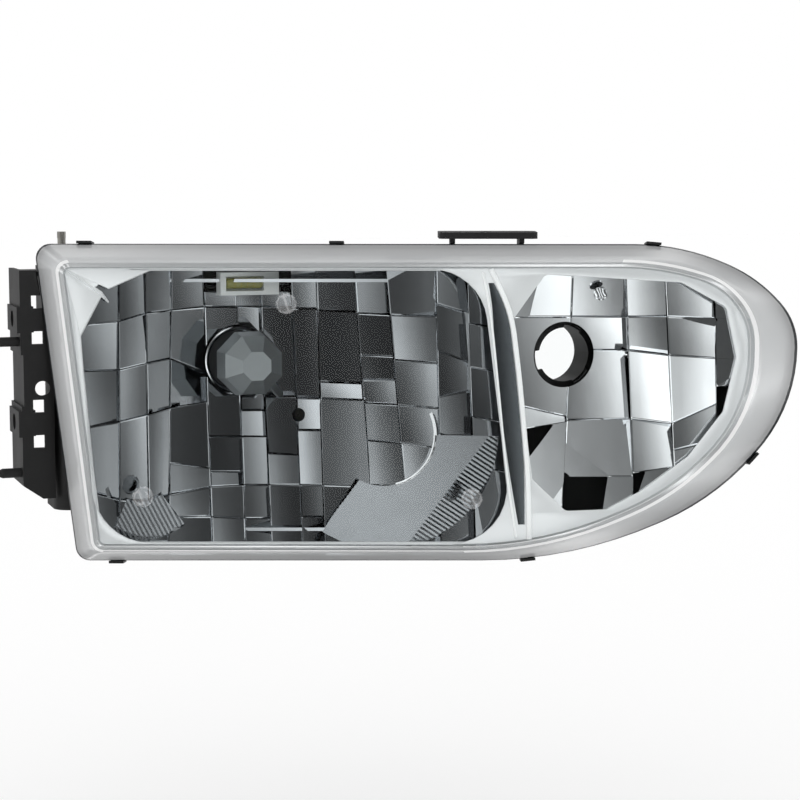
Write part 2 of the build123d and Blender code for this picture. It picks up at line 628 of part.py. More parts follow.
# --- rear cap and vent ------------------------------------------------------------------------
def dust_cap():
    """Twist-off cap over the bulb opening, with a grip bar across its back."""
    y0 = POD_BACK_Y + 2.3
    y1 = POD_BACK_Y + 34
    body = rod_y(*BULB, y0, y1, CAP_RADIUS) - rod_y(*BULB, y0 - 1, y1 - 2, COLLAR_RADIUS + 0.5)
    body += block((BULB[0] - 30, BULB[0] + 30), (y1, y1 + 9), (BULB[1] - 2.5, BULB[1] + 2.5))
    for index in range(24):
        turn = Pos(BULB[0], 0, BULB[1]) * Rot(0, 15 * index, 0)
        body += turn * block((CAP_RADIUS - 0.5, CAP_RADIUS + 1.3), (y0 + 6, y1 - 2), (-1.5, 1.5))
    return body


def dust_cap_seal():
    y0 = POD_BACK_Y
    return rod_y(*BULB, y0, y0 + 2, CAP_RADIUS) - rod_y(*BULB, y0 - 1, y0 + 3, COLLAR_RADIUS)


def vent_cap():
    """Breather: a short tube under a loose rubber cap."""
    y0 = POD_BACK_Y
    body = rod_y(*VENT, y0 - WALL, y0 + 8, 3.0) + rod_y(*VENT, y0 + 3, y0 + 16, 6.5)
    body -= rod_y(*VENT, y0 + 2, y0 + 8, 5.0) - rod_y(*VENT, y0 + 2, y0 + 8, 3.0)
    return body - rod_y(*VENT, y0 - 5, y0 + 14, 1.6)


NODES = {
    "housing": housing, "housing_ribs": housing_ribs, "top_tab": top_tab, "side_bracket": side_bracket,
    "lens": lens, "lens_seal": lens_seal, "lens_clips": lens_clips, "bezel": bezel,
    "signal_reflector": signal_reflector, "signal_screws": signal_screws,
    "headlamp_reflector": headlamp_reflector, "ball_cups": cup_pair, "pivot_cup": pivot_cup,
    "level_holder": level_holder, "level_vial": level_vial, "bulb_shield": bulb_shield,
    "shield_screw": shield_screw, "bulb_glass": bulb_glass, "bulb_filaments": bulb_filaments,
    "bulb_base": bulb_base, "bulb_o_ring": bulb_o_ring, "bulb_terminals": bulb_terminals,
    "bulb_locking_ring": bulb_locking_ring, "pivot_stud": pivot_stud, "pivot_nut": pivot_nut,
    "adjuster_gear": adjuster_gear, "drive_shaft": drive_shaft, "adjuster_gearbox": adjuster_gearbox,
    "gearbox_cover": gearbox_cover, "side_bushing": side_bushing, "side_wheel": side_wheel,
    "dust_cap": dust_cap, "dust_cap_seal": dust_cap_seal, "vent_cap": vent_cap,
}

os.makedirs("parts", exist_ok=True)
for node, make in NODES.items():
    write(make(), node)
write(ball_rod(UPPER_BALL, GEARBOX_BACK_Y + 9), "upper_rod")
write(ball_rod(SIDE_BALL, POD_BACK_Y + 24), "side_rod")
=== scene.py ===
"""Looks of a car headlamp assembly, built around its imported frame."""
import math
import random

import bmesh
import bpy
from bpy.props import FloatProperty, IntProperty, PointerProperty, StringProperty
from mathutils import Matrix, Vector


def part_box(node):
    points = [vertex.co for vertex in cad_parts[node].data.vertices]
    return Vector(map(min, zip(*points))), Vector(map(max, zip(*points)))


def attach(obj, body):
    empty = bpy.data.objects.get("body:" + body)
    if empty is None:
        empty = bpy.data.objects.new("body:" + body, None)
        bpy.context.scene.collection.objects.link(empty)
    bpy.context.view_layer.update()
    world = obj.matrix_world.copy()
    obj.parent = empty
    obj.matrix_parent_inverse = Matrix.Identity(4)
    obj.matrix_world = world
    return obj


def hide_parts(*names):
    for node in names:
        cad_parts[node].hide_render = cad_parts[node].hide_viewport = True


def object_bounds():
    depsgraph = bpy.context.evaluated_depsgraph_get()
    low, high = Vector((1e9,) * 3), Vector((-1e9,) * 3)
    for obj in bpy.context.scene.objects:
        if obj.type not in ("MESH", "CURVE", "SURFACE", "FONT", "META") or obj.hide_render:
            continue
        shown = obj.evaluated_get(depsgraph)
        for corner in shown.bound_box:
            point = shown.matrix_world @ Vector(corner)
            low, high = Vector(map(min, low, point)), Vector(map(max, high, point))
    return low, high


bl_info = {
    "name": "Headlamp assembly looks",
    "version": (1, 0, 0),
    "blender": (4, 5, 0),
    "location": "3D View > Sidebar > Headlamp",
    "description": "Builds the lens, trim, reflectors and finishes of a headlamp around its CAD frame",
    "category": "Object",
}

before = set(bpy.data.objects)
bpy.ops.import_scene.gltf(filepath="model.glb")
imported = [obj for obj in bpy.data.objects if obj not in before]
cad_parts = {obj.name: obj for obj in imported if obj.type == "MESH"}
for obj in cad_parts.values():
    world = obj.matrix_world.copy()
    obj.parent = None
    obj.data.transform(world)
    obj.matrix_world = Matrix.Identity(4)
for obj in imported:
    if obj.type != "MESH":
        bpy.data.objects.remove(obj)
cad_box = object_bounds()

MM = 0.001
# --- the lens plane: where its centre lies from the tab's bolt hole, and how it is turned ---
LENS_CENTRE = Vector((-71.0, -37.0, -99.0))
YAW = math.radians(20.0)
LEAN = math.radians(6.5)
ACROSS = Vector((math.cos(YAW), -math.sin(YAW), 0))
NORMAL = Vector((-math.sin(YAW) * math.cos(LEAN), -math.cos(YAW) * math.cos(LEAN), math.sin(LEAN)))
UPWARD = NORMAL.cross(ACROSS)

# --- outlines in lens coordinates: corner x, corner y, corner radius, all in mm ------------
RIM_NOSE = ((174, 95.7, 140), (220, 75, 90), (244.3, 48, 40), (243.5, -0.5, 98), (199, -58, 160), (107, -98.5, 270))
FACE_NOSE = ((158, 83.3, 160), (197, 71, 45), (214, 48, 40), (214, -10, 90), (163, -58, 150), (88, -90.8, 240))
RIM = ((-225, 96, 9), *RIM_NOSE, (-198, -98.5, 9))
FACE = ((-207, 83.3, 7), *FACE_NOSE, (-184, -90.8, 7))
MAIN_OPENING = ((-196, 79, 34), (49, 79, 34), (69, -87, 34), (-183, -86, 34))
SIGNAL_OPENING = tuple((x, y, 5) for x, y in (
    (88, 76), (170, 71), (197, 56), (203, 26), (195, -7), (174, -34), (147, -54), (125, -66), (100, -67),
    (80, -48), (68, 48)))
# --- the face's dome, the moulded pads, the bulb and the signal bore, in mm ----------------
DOME_APEX = 7.0
DOME_RADIUS = 3000.0
PADS = ((-68, 57.5), (-154, -58), (43, -59))
PAD_PROFILE = ((0.0, -0.2), (6.2, -0.2), (6.2, 0.5), (5.7, 0.95), (5.0, 1.0), (3.4, 0.62), (1.7, 0.42),
               (0.0, 0.36))
BEZEL_MIDDLE = -9.0
BEZEL_FRONT = -8
BULB = (-71.0, 17.0)
SIGNAL = (114.7, 22.5)


def lens_point(x, y, z):
    """A point in lens coordinates, in mm, as a place in the frame."""
    return (LENS_CENTRE + ACROSS * x + UPWARD * y + NORMAL * z) * MM


def lamp_point(x, y, z):
    """A point in the lamp's own axes, measured from the lens centre in mm, as a place in the frame."""
    return (LENS_CENTRE + Vector((x, y, z))) * MM


def dome_height(x, y):
    """How far the face stands out from the lens plane, in mm."""
    return DOME_APEX - (x * x + y * y) / (2 * DOME_RADIUS)


def plane_depth(x, z, below):
    """The Y of the plane that lies a given depth behind the lens plane, at that X and Z."""
    return (below + NORMAL.x * x + NORMAL.z * z) / -NORMAL.y


def outline(corners, inset=0.0, steps=8):
    """Points round an outline, with the same number at each corner, moved in by inset."""
    points = []
    for index, (x, y, radius) in enumerate(corners):
        corner = Vector((x, y))
        before = (Vector(corners[index - 1][:2]) - corner).normalized()
        after = (Vector(corners[(index + 1) % len(corners)][:2]) - corner).normalized()
        half = before.angle(after) / 2
        centre = corner + (before + after).normalized() * (radius / math.sin(half))
        first = corner + before * (radius / math.tan(half)) - centre
        last = corner + after * (radius / math.tan(half)) - centre
        turn = first.angle_signed(last)
        for step in range(steps + 1):
            arm = first.copy()
            arm.rotate(Matrix.Rotation(-turn * step / steps, 2))
            points.append(centre + arm * ((radius - inset) / radius))
    return points


# --- making meshes ---------------------------------------------------------------------------
def mesh_piece(name, vertices, faces, material, smooth=True, crease=28):
    """A mesh object at the origin, with its doubles merged and its faces pointing out."""
    mesh = bpy.data.meshes.new(name)
    mesh.from_pydata([tuple(v) for v in vertices], [], faces)
    work = bmesh.new()
    work.from_mesh(mesh)
    bmesh.ops.remove_doubles(work, verts=work.verts, dist=1e-6)
    bmesh.ops.recalc_face_normals(work, faces=work.faces)
    work.to_mesh(mesh)
    work.free()
    mesh.shade_flat()
    if smooth:
        mesh.shade_smooth()
        mesh.set_sharp_from_angle(angle=math.radians(crease))
    piece = bpy.data.objects.new(name, mesh)
    bpy.context.scene.collection.objects.link(piece)
    mesh.materials.append(material)
    return piece


def loft(loops, ring=False):
    """Vertices and faces through loops of equal length; ring joins the last to the first; else the ends close."""
    count = len(loops[0])
    vertices = [point for loop in loops for point in loop]
    faces = []
    pairs = len(loops) if ring else len(loops) - 1
    for row in range(pairs):
        a = row * count
        b = ((row + 1) % len(loops)) * count
        for k in range(count):
            n = (k + 1) % count
            faces.append((a + k, a + n, b + n, b + k))
    if not ring:
        faces.append(tuple(range(count)))
        faces.append(tuple(range((len(loops) - 1) * count, len(loops) * count)))
    return vertices, faces


def lathe(profile, place, sides=32):
    """Vertices and faces of a turned shape; profile holds (radius, height) pairs ending on the axis."""
    loops = []
    for radius, height in profile:
        loops.append([place(radius * math.cos(2 * math.pi * k / sides), radius * math.sin(2 * math.pi * k / sides),
                            height) for k in range(sides)])
    return loft(loops)


def joined(*parts):
    """Several (vertices, faces) as one."""
    vertices, faces = [], []
    for more_vertices, more_faces in parts:
        start = len(vertices)
        vertices += more_vertices
        faces += [tuple(index + start for index in face) for face in more_faces]
    return vertices, faces


def baked(piece):
    """The piece with its modifiers applied to its mesh."""
    graph = bpy.context.evaluated_depsgraph_get()
    mesh = bpy.data.meshes.new_from_object(piece.evaluated_get(graph))
    piece.modifiers.clear()
    piece.data = mesh
    return piece


def cut(piece, tool, operation):
    """Cuts the piece by the tool, which is then removed."""
    step = piece.modifiers.new("cut", "BOOLEAN")
    step.object = tool
    step.operation = operation
    step.solver = "EXACT"
    baked(piece)
    bpy.data.objects.remove(tool)


def finish_piece(piece, body, slot, *replaced):
    """Puts the piece on its body and hides the CAD nodes that it stands for; its slot is not used."""
    if not piece.data.polygons:
        raise RuntimeError(f"{piece.name} came out empty")
    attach(piece, body)
    if replaced:
        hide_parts(*replaced)


def dress(material, *nodes):
    """Gives CAD nodes a material."""
    for name in nodes:
        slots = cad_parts[name].material_slots
        for slot in slots:
            slot.material = material


# --- materials ---------------------------------------------------------------------------------
def colour(hex_value):
    """An sRGB hex colour as linear RGBA."""
    parts = [int(hex_value[k:k + 2], 16) / 255 for k in (1, 3, 5)]
    linear = [p / 12.92 if p <= 0.04045 else ((p + 0.055) / 1.055) ** 2.4 for p in parts]
    return (*linear, 1.0)


def add_node(tree, kind, inputs=None, **settings):
    """Adds a node; an input is a value, or another node's output to link."""
    made = tree.nodes.new(kind)
    for name, value in settings.items():
        setattr(made, name, value)
    for key, value in (inputs or {}).items():
        if isinstance(value, bpy.types.NodeSocket):
            tree.links.new(value, made.inputs[key])
        else:
            made.inputs[key].default_value = value
    return made


def new_material(name):
    """An empty node material and its tree."""
    material = bpy.data.materials.new(name)
    material.use_nodes = True
    tree = material.node_tree
    tree.nodes.clear()
    return material, tree


def place_socket(tree):
    """Real places on the piece, in metres."""
    return add_node(tree, "ShaderNodeTexCoord").outputs["Object"]


def grain(tree, size_mm, detail=3.0):
    """Noise whose features are about size_mm across."""
    return add_node(tree, "ShaderNodeTexNoise", {
        "Vector": place_socket(tree), "Scale": 1 / (size_mm * MM), "Detail": detail, "Roughness": 0.55})


def ranged(tree, value, low, high):
    """A value between 0 and 1, moved to lie between low and high."""
    return add_node(tree, "ShaderNodeMapRange", {"Value": value, "To Min": low, "To Max": high}).outputs["Result"]


def bumped(tree, height, depth_mm):
    """A bump of that depth, from a height between 0 and 1."""
    return add_node(tree, "ShaderNodeBump", {
        "Height": height, "Distance": depth_mm * MM, "Strength": 1.0}).outputs["Normal"]


def surface(tree, shader):
    """Ends the tree in this shader."""
    add_node(tree, "ShaderNodeOutputMaterial", {"Surface": shader})


def metallised_chrome(name, hex_value, low, high, wave_mm, wave_depth):
    """Aluminium flashed on a moulded part: a clean mirror with slow ripples and faint haze."""
    material, tree = new_material(name)
    ripples = grain(tree, wave_mm, 1.5)
    haze = grain(tree, 9.0)
    shader = add_node(tree, "ShaderNodeBsdfPrincipled", {
        "Base Color": colour(hex_value), "Metallic": 1.0,
        "Roughness": ranged(tree, haze.outputs["Fac"], low, high),
        "Normal": bumped(tree, ripples.outputs["Fac"], wave_depth)})
    surface(tree, shader.outputs["BSDF"])
    return material


def satin_trim(name, hex_value, metal, roughness):
    """Satin metallised trim: part mirror, part even pale sheen, with faint patches."""
    material, tree = new_material(name)
    patches = grain(tree, 50.0)
    shader = add_node(tree, "ShaderNodeBsdfPrincipled", {
        "Base Color": colour(hex_value), "Metallic": metal,
        "Roughness": ranged(tree, patches.outputs["Fac"], roughness - 0.04, roughness + 0.06)})
    surface(tree, shader.outputs["BSDF"])
    return material


def clear_polycarbonate(name, tint, index, gloss_roughness, body_share=0.0, body_hex="#ffffff"):
    """Clear moulding: mostly transparent, with the gloss of its outer surface on top."""
    material, tree = new_material(name)
    through = add_node(tree, "ShaderNodeBsdfTransparent", {"Color": colour(tint)})
    gloss = add_node(tree, "ShaderNodeBsdfPrincipled", {
        "Base Color": colour("#ffffff"), "Metallic": 1.0, "Roughness": gloss_roughness})
    edge = add_node(tree, "ShaderNodeFresnel", {"IOR": index})
    sheen = edge.outputs["Fac"]
    if not body_share:
        side = add_node(tree, "ShaderNodeNewGeometry")
        sheen = add_node(tree, "ShaderNodeMath", {0: sheen, 1: side.outputs["Backfacing"]},
                         operation="SUBTRACT", use_clamp=True).outputs["Value"]
    mixed = add_node(tree, "ShaderNodeMixShader", {0: sheen, 1: through.outputs["BSDF"],
                                                   2: gloss.outputs["BSDF"]})
    result = mixed.outputs["Shader"]
    if body_share:
        milky = add_node(tree, "ShaderNodeBsdfPrincipled", {
            "Base Color": colour(body_hex), "Roughness": 0.35})
        result = add_node(tree, "ShaderNodeMixShader", {0: body_share, 1: result, 2: milky.outputs["BSDF"]}
                          ).outputs["Shader"]
    surface(tree, result)
    return material


def moulded_plastic(name, hex_value, roughness, grain_mm, depth_mm):
    """Injection-moulded plastic with a spark-eroded grain that breaks up its sheen."""
    material, tree = new_material(name)
    fine = grain(tree, grain_mm)
    patches = grain(tree, 25.0)
    tone = add_node(tree, "ShaderNodeMix", {
        "Factor": ranged(tree, patches.outputs["Fac"], 0.0, 0.35), "A": colour(hex_value),
        "B": colour("#4a4a4a")}, data_type="RGBA", blend_type="SOFT_LIGHT")
    shader = add_node(tree, "ShaderNodeBsdfPrincipled", {
        "Base Color": tone.outputs["Result"],
        "Roughness": ranged(tree, patches.outputs["Fac"], roughness - 0.06, roughness + 0.08),
        "Normal": bumped(tree, fine.outputs["Fac"], depth_mm)})
    surface(tree, shader.outputs["BSDF"])
    return material


def turned_metal(name, hex_value, roughness, stripe_mm):
    """Turned and plated metal: fine lathe lines in the sheen."""
    material, tree = new_material(name)
    lines = grain(tree, stripe_mm)
    shader = add_node(tree, "ShaderNodeBsdfPrincipled", {
        "Base Color": colour(hex_value), "Metallic": 1.0,
        "Roughness": ranged(tree, lines.outputs["Fac"], roughness - 0.08, roughness + 0.08),
        "Normal": bumped(tree, lines.outputs["Fac"], 0.03)})
    surface(tree, shader.outputs["BSDF"])
    return material


# --- what a user may change ----------------------------------------------------------------------
class LampSizes(bpy.types.PropertyGroup):
    """Sizes and colours that a user may change."""
    lens_wall: FloatProperty(name="Lens wall", description="Thickness of the clear lens",
                             default=0.0024, min=0.001, max=0.005, precision=4, unit="LENGTH")
    facet_gap: FloatProperty(name="Facet gap", description="Groove between two facets",
                             default=0.0001, min=0.00002, max=0.001, precision=5, unit="LENGTH")
    facet_seed: IntProperty(name="Facet seed", description="Seed for the facets' small tilts", default=7, min=0)
    flute_pitch: FloatProperty(name="Flute pitch", description="Distance between two flutes",
                               default=0.0025, min=0.001, max=0.01, precision=4, unit="LENGTH")
    rib_count: IntProperty(name="Rear ribs", description="Ribs across the rear wall", default=9, min=2, max=12)
    chrome: StringProperty(name="Reflector chrome", description="Colour of the headlamp's reflector, as sRGB hex",
                           default="#a3a6a9")
    plastic: StringProperty(name="Housing", description="Colour of the moulded housing, as sRGB hex",
                            default="#101011")


# --- facets --------------------------------------------------------------------------------------
EYE_DISTANCE = 1200.0
STUDIO_WAVES = ACROSS * 14.0 + Vector((0, 0, 5.0))
STUDIO_FLOOR = 0.06
STUDIO_SPAN = 28.0


def studio_tone(direction):
    """How bright the studio is that way, 0 to 1; the world's shader follows the same rule."""
    return 0.5 + 0.5 * math.cos(direction.dot(STUDIO_WAVES))


def sight_line(u, v):
    """The line from the eye through a point (u, v) of the lens plane, in the lamp's axes."""
    eye = NORMAL * EYE_DISTANCE
    return eye, (ACROSS * u + UPWARD * v - eye).normalized()


def meet(line, plane):
    """Where a sight line meets the plane y = y0 + slope_x (x - x0) + slope_z (z - z0)."""
    (eye, way), (centre, slope_x, slope_z) = line, plane
    rise = way.y - slope_x * way.x - slope_z * way.z
    gap = centre.y - eye.y + slope_x * (eye.x - centre.x) + slope_z * (eye.z - centre.z)
    return eye + way * (gap / rise)


def on_surface(u, v, depth):
    """Where the sight line meets the reflector's surface."""
    eye, way = sight_line(u, v)
    reach = EYE_DISTANCE + 70
    for _ in range(24):
        spot = eye + way * reach
        reach += 0.6 * (depth(spot.x, spot.z) - spot.y)
    return eye + way * reach


def aimed_plane(corners, depth, want, opening, rng):
    """The plane of a facet, tilted so that it mirrors a part of the studio as bright as wanted."""
    u = sum(c[0] for c in corners) / 4
    v = sum(c[1] for c in corners) / 4
    centre = on_surface(u, v, depth)
    way = sight_line(u, v)[1]
    span = 4.0
    base_x = 0.42 * (depth(centre.x + span, centre.z) - depth(centre.x - span, centre.z)) / (2 * span)
    base_z = 0.42 * (depth(centre.x, centre.z + span) - depth(centre.x, centre.z - span)) / (2 * span)
    base_x = max(-0.5, min(0.5, base_x))
    base_z = max(-0.4, min(0.4, base_z))
    best = None
    for step_x in range(-8, 9):
        for step_z in range(-3, 4):
            slope_x = base_x + 0.028 * step_x + rng.uniform(-0.006, 0.006)
            slope_z = base_z + 0.045 * step_z
            normal = Vector((slope_x, -1, slope_z)).normalized()
            mirrored = way - 2 * way.dot(normal) * normal
            forward = mirrored.dot(NORMAL)
            cost = 5 * abs(studio_tone(mirrored) - want) + 0.02 * (abs(step_x) + 2 * abs(step_z))
            if forward > 0.2:
                out = centre + mirrored * ((-18 - centre.dot(NORMAL)) / forward)
                side, rise = out.dot(ACROSS), out.dot(UPWARD)
                cost += 0 if opening[0] < side < opening[1] and opening[2] < rise < opening[3] else 1.5
            else:
                cost += 3
            if best is None or cost < best[0]:
                best = (cost, slope_x, slope_z)
    plane = (centre, best[1], best[2])
    sunk = 0.0
    for corner in corners:
        spot = meet(sight_line(*corner), plane)
        sunk = max(sunk, spot.y - depth(spot.x, spot.z))
    return (centre - Vector((0, sunk, 0)), best[1], best[2])


def ray_slab(lens_spot, recess, plane, columns, rows, thickness):
    """A closed slab whose front lies on a plane, moved back by recess(s, t), over a grid seen from the eye."""
    front, back = [], []
    for t in rows:
        for s in columns:
            line = sight_line(*lens_spot(s, t))
            spot = meet(line, plane) + line[1] * recess(s, t)
            front.append((LENS_CENTRE + spot) * MM)
            back.append((LENS_CENTRE + spot + line[1] * thickness) * MM)
    side, height = len(columns), len(rows)
    count = side * height
    faces = []
    for row in range(height - 1):
        for column in range(side - 1):
            a = row * side + column
            faces.append((a, a + 1, a + side + 1, a + side))
            faces.append((count + a, count + a + side, count + a + side + 1, count + a + 1))
    border = list(range(side)) + [row * side + side - 1 for row in range(1, height)]
    border += [(height - 1) * side + k for k in range(side - 2, -1, -1)]
    border += [row * side for row in range(height - 2, 0, -1)]
    for k, a in enumerate(border):
        b = border[(k + 1) % len(border)]
        faces.append((a, a + count, b + count, b))
    return front + back, faces


def shrunk(corners, gap):
    """The facet's corners, drawn in by half a gap towards its middle."""
    middle = Vector((sum(c[0] for c in corners) / 4, sum(c[1] for c in corners) / 4))
    result = []
    for corner in corners:
        arm = Vector(corner) - middle
        result.append(middle + arm * max(0.6, 1 - gap / 2 / max(min(abs(arm.x), abs(arm.y)), 1)))
    return result


def facet_tile(corners, plane, gap, swell):
    """One facet: slightly curved, with a rounded edge; corners run left-top, right-top, right-bottom, left-bottom."""
    a, b, c, d = shrunk(corners, gap)
    wide = max((b - a).length, 3)
    high = max((a - d).length, 3)
    round_s, round_t = min(0.7 / wide, 0.2), min(0.7 / high, 0.2)
    columns = (0, round_s * 0.4, round_s, 0.2 + round_s / 2, 0.35, 0.5, 0.65, 0.8 - round_s / 2, 1 - round_s,
               1 - round_s * 0.4, 1)
    rows = (0, round_t * 0.4, round_t, 0.25, 0.5, 0.75, 1 - round_t, 1 - round_t * 0.4, 1)

    def spot(s, t):
        return (a.lerp(b, s)).lerp(d.lerp(c, s), t)

    def recess(s, t):
        near = min(s / round_s, (1 - s) / round_s, t / round_t, (1 - t) / round_t, 1)
        return FACET_ROUND * (1 - near) ** 2 + swell * 4 * ((s - 0.5) ** 2 + 0.5 * (t - 0.5) ** 2)
    return ray_slab(spot, recess, plane, columns, rows, FACET_THICKNESS)


def prism(corners, grown, front, back):
    """A closed prism over an outline between two depths, for cutting."""
    loops = [[lens_point(p.x, p.y, depth) for p in outline(corners, -grown)] for depth in (front, back)]
    return mesh_piece("cutter", *loft(loops), None, smooth=False)


def sight_cutter(rim, back=-0.05, front=0.14):
    """A tapering prism through a closed line of places, along the lines from the eye to them."""
    eye = NORMAL * EYE_DISTANCE
    loops = [[(LENS_CENTRE + spot.lerp(eye, share)) * MM for spot in rim] for share in (back, front)]
    return mesh_piece("cutter", *loft(loops), None, smooth=False)


def bore_rim(centre, y, radius, sides=64):
    """Places round a bore that runs along Y."""
    turns = [2 * math.pi * k / sides for k in range(sides)]
    return [Vector((centre[0] + radius * math.cos(t), y, centre[1] + radius * math.sin(t))) for t in turns]


def bead_ring(centre, y, radius, section, sides=72, rounds=12):
    """A raised round bead about a bore that runs along Y."""
    loops = []
    for k in range(sides):
        angle = 2 * math.pi * k / sides
        loop = []
        for m in range(rounds):
            roll = 2 * math.pi * m / rounds
            r = radius + section * math.cos(roll)
            loop.append(lamp_point(centre[0] + r * math.cos(angle), y + section * math.sin(roll),
                                   centre[1] + r * math.sin(angle)))
        loops.append(loop)
    return loft(loops, ring=True)


# Columns of facets, as seen on the lens plane in mm: the column's left and right edges, each at its
# top and at its foot, then its rows from the top down: (left height, right height, tone below it).
MAIN_COLUMNS = (
    ((-206, -200), (-169, -168), ((88, 88, 0.35), (44, 47, 0.6), (17, 18, 0.62), (-19, -13, 0.64), (-52, -60, 0.5))),
    ((-169, -168), (-153, -150), ((88, 88, 0.5), (47, 52, 0.6), (18, 22, 0.63), (-13, -9, 0.66), (-60, -61, 0.4))),
    ((-153, -150), (-137, -139), ((88, 88, 0.45), (52, 54, 0.62), (22, 25, 0.6), (-9, -5, 0.64), (-61, -57, 0.35))),
    ((-137, -139), (-118.5, -112), ((88, 88, 0.55), (54, 56, 0.5), (25, 16, 0.62), (-5, -1, 0.04), (-38, -41, 0.55),
                                    (-57, -52, 0.5), (-70, -70, 0.25))),
    ((-118.5, -112), (-99, -92), ((88, 88, None), (65, 65, 0.6), (56, 56, 0.3), (28, 28, 0.05), (-22, -22, 0.03),
                                  (-43, -43, 0.58), (-52, -51, 0.3), (-70, -71, 0.45))),
    ((-99, -92), (-84.5, -76.5), ((88, 88, None), (65, 65, 0.5), (56, 56, 0.65), (28, 28, 0.3), (-6, -6, 0.85),
                                  (-22, -22, 0.72), (-51, -51, 0.4), (-71, -71, 0.35))),
    ((-84.5, -76.5), (-66, -58), ((88, 88, None), (65, 65, 0.5), (56, 56, 0.04), (2, 2, 0.04),
                                  (-32, -33, 0.5), (-51, -51, 0.15))),
    ((-66, -58), (-50.5, -44.5), ((88, 88, 0.62), (55, 55, 0.05), (1, 1, 0.92), (-18, -18, 0.8), (-51, -51, 0.3),
                                  (-70, -70, 0.12))),
    ((-50.5, -44.5), (-28, -15), ((88, 88, 0.15), (54, 53, 0.04), (11, 10, 0.9), (1, 0, 0.5), (-51, -52, 0.12))),
    ((-28, -15), (-9, 7), ((88, 88, 0.62), (52, 51, 0.03), (27, 26, 0.06), (12, 12, 0.5), (-2, -3, 0.52),
                           (-24, -26, 0.55), (-51, -52, 0.1))),
    ((-9, 7), (21.5, 25), ((88, 88, 0.3), (51, 50, 0.68), (24, 22, 0.6), (-3, -5, 0.55), (-26, -29, 0.6),
                           (-51, -52, 0.12))),
    ((21.5, 25), (40, 46), ((88, 88, 0.45), (58, 52, 0.3), (30, 22, 0.25), (2, 6, 0.4), (-20, -28, 0.4),
                            (-60, -58, 0.4))),
    ((40, 46), (72, 82), ((88, 88, 0.5), (46, 40, 0.42), (20, 14, 0.35), (-10, -16, 0.5), (-40, -46, 0.45))))
MAIN_FOOT = -96
SIGNAL_COLUMNS = (
    ((58, 72), (104, 97), ((83, 83, 0.85), (50, 50, 0.5), (-2, -10, 0.68), (-19, -13, 0.62))),
    ((104, 97), (135, 141), ((83, 83, 0.62), (50, 50, 0.78), (30, 30, 0.66), (-12, -11, 0.45), (-46, -46, 0.2))),
    ((135, 141), (159, 166), ((83, 83, 0.68), (50, 50, 0.45), (30, 27, 0.95), (-11, -14, 0.7), (-44, -40, 0.15))),
    ((159, 166), (189, 191), ((83, 83, 0.66), (50, 49, 0.6), (27, 25, 0.8), (-14, -2, 0.4), (-30, -24, 0.5))),
    ((189, 191), (224, 220), ((83, 83, 0.7), (49, 48, 0.55), (25, 24, 0.5), (8, 10, 0.66))))
SIGNAL_FOOT = -76
# The reflectors, in mm: focal lengths, how far back their bowls reach, and where the shelves begin.
MAIN_FOCUS = 28.0
MAIN_BACK_Y = 116.0
BULB_SEAT_Y = 108.0
SHELF_TOP = 44
SHELF_FOOT = -64
# Facets: how near the lens plane they come, their edge's rounding, swell, smoothing angle and thickness.
FACET_FRONT = -11.5
FACET_ROUND = 0.3
FACET_SWELL = 0.1
FACET_CREASE = 7
FACET_THICKNESS = 7.0
FLUTE_THICKNESS = 12.0
SHIELD_SCREW = (-28.0, -21.0)
SIGNAL_FOCUS = 19.0
SIGNAL_BACK_Y = 15.0
ARC_CENTRE = (-10.0, -20.5)
ARC_RADIUS = 31.0
MAIN_EXIT = (-190, 50, -82, 74)
SIGNAL_EXIT = (70, 200, -60, 74)


def main_depth(x, z):
    """Y of the headlamp reflector's bright surface: a paraboloid with sloping shelves."""
    def bowl(height):
        radius_squared = (x - BULB[0]) ** 2 + (height - BULB[1]) ** 2
        return max(MAIN_BACK_Y - radius_squared / (4 * MAIN_FOCUS), plane_depth(x, height, 25))
    rim = plane_depth(x, z, 20)
    if z > SHELF_TOP:
        share = min((z - SHELF_TOP) / 34, 1)
        return bowl(SHELF_TOP) * (1 - share) + rim * share
    if z < SHELF_FOOT:
        share = min((SHELF_FOOT - z) / 28, 1)
        return bowl(SHELF_FOOT) * (1 - share) + rim * share
    return bowl(z)


def signal_depth(x, z):
    """Y of the turn-signal reflector's bright surface."""
    radius_squared = (x - SIGNAL[0]) ** 2 + (z - SIGNAL[1]) ** 2
    return max(SIGNAL_BACK_Y - radius_squared / (4 * SIGNAL_FOCUS), plane_depth(x, z, 16))


def edge_at(edge, height, top, foot):
    """Where a column's edge lies at a height."""
    share = (top - height) / (top - foot)
    return edge[0] + (edge[1] - edge[0]) * share


def facets(columns, foot, depth, opening, seed, gap, swell):
    """All the tiles of one reflector, each aimed at its tone; a tile without a tone is left open."""
    rng = random.Random(seed)
    tiles = []
    top = columns[0][2][0][0]
    for left, right, rows in columns:
        ends = list(rows[1:]) + [(foot, foot, 0)]
        for (left_top, right_top, tone), (left_foot, right_foot, _) in zip(rows, ends):
            if tone is None:
                continue
            corners = ((edge_at(left, left_top, top, foot), left_top),
                       (edge_at(right, right_top, top, foot), right_top),
                       (edge_at(right, right_foot, top, foot), right_foot),
                       (edge_at(left, left_foot, top, foot), left_foot))
            plane = aimed_plane(corners, depth, tone, opening, rng)
            wide = abs(corners[1][0] - corners[0][0])
            tiles.append(facet_tile(corners, plane, gap, swell * rng.choice((-1, 1)) * wide / 20))
    return joined(*tiles)


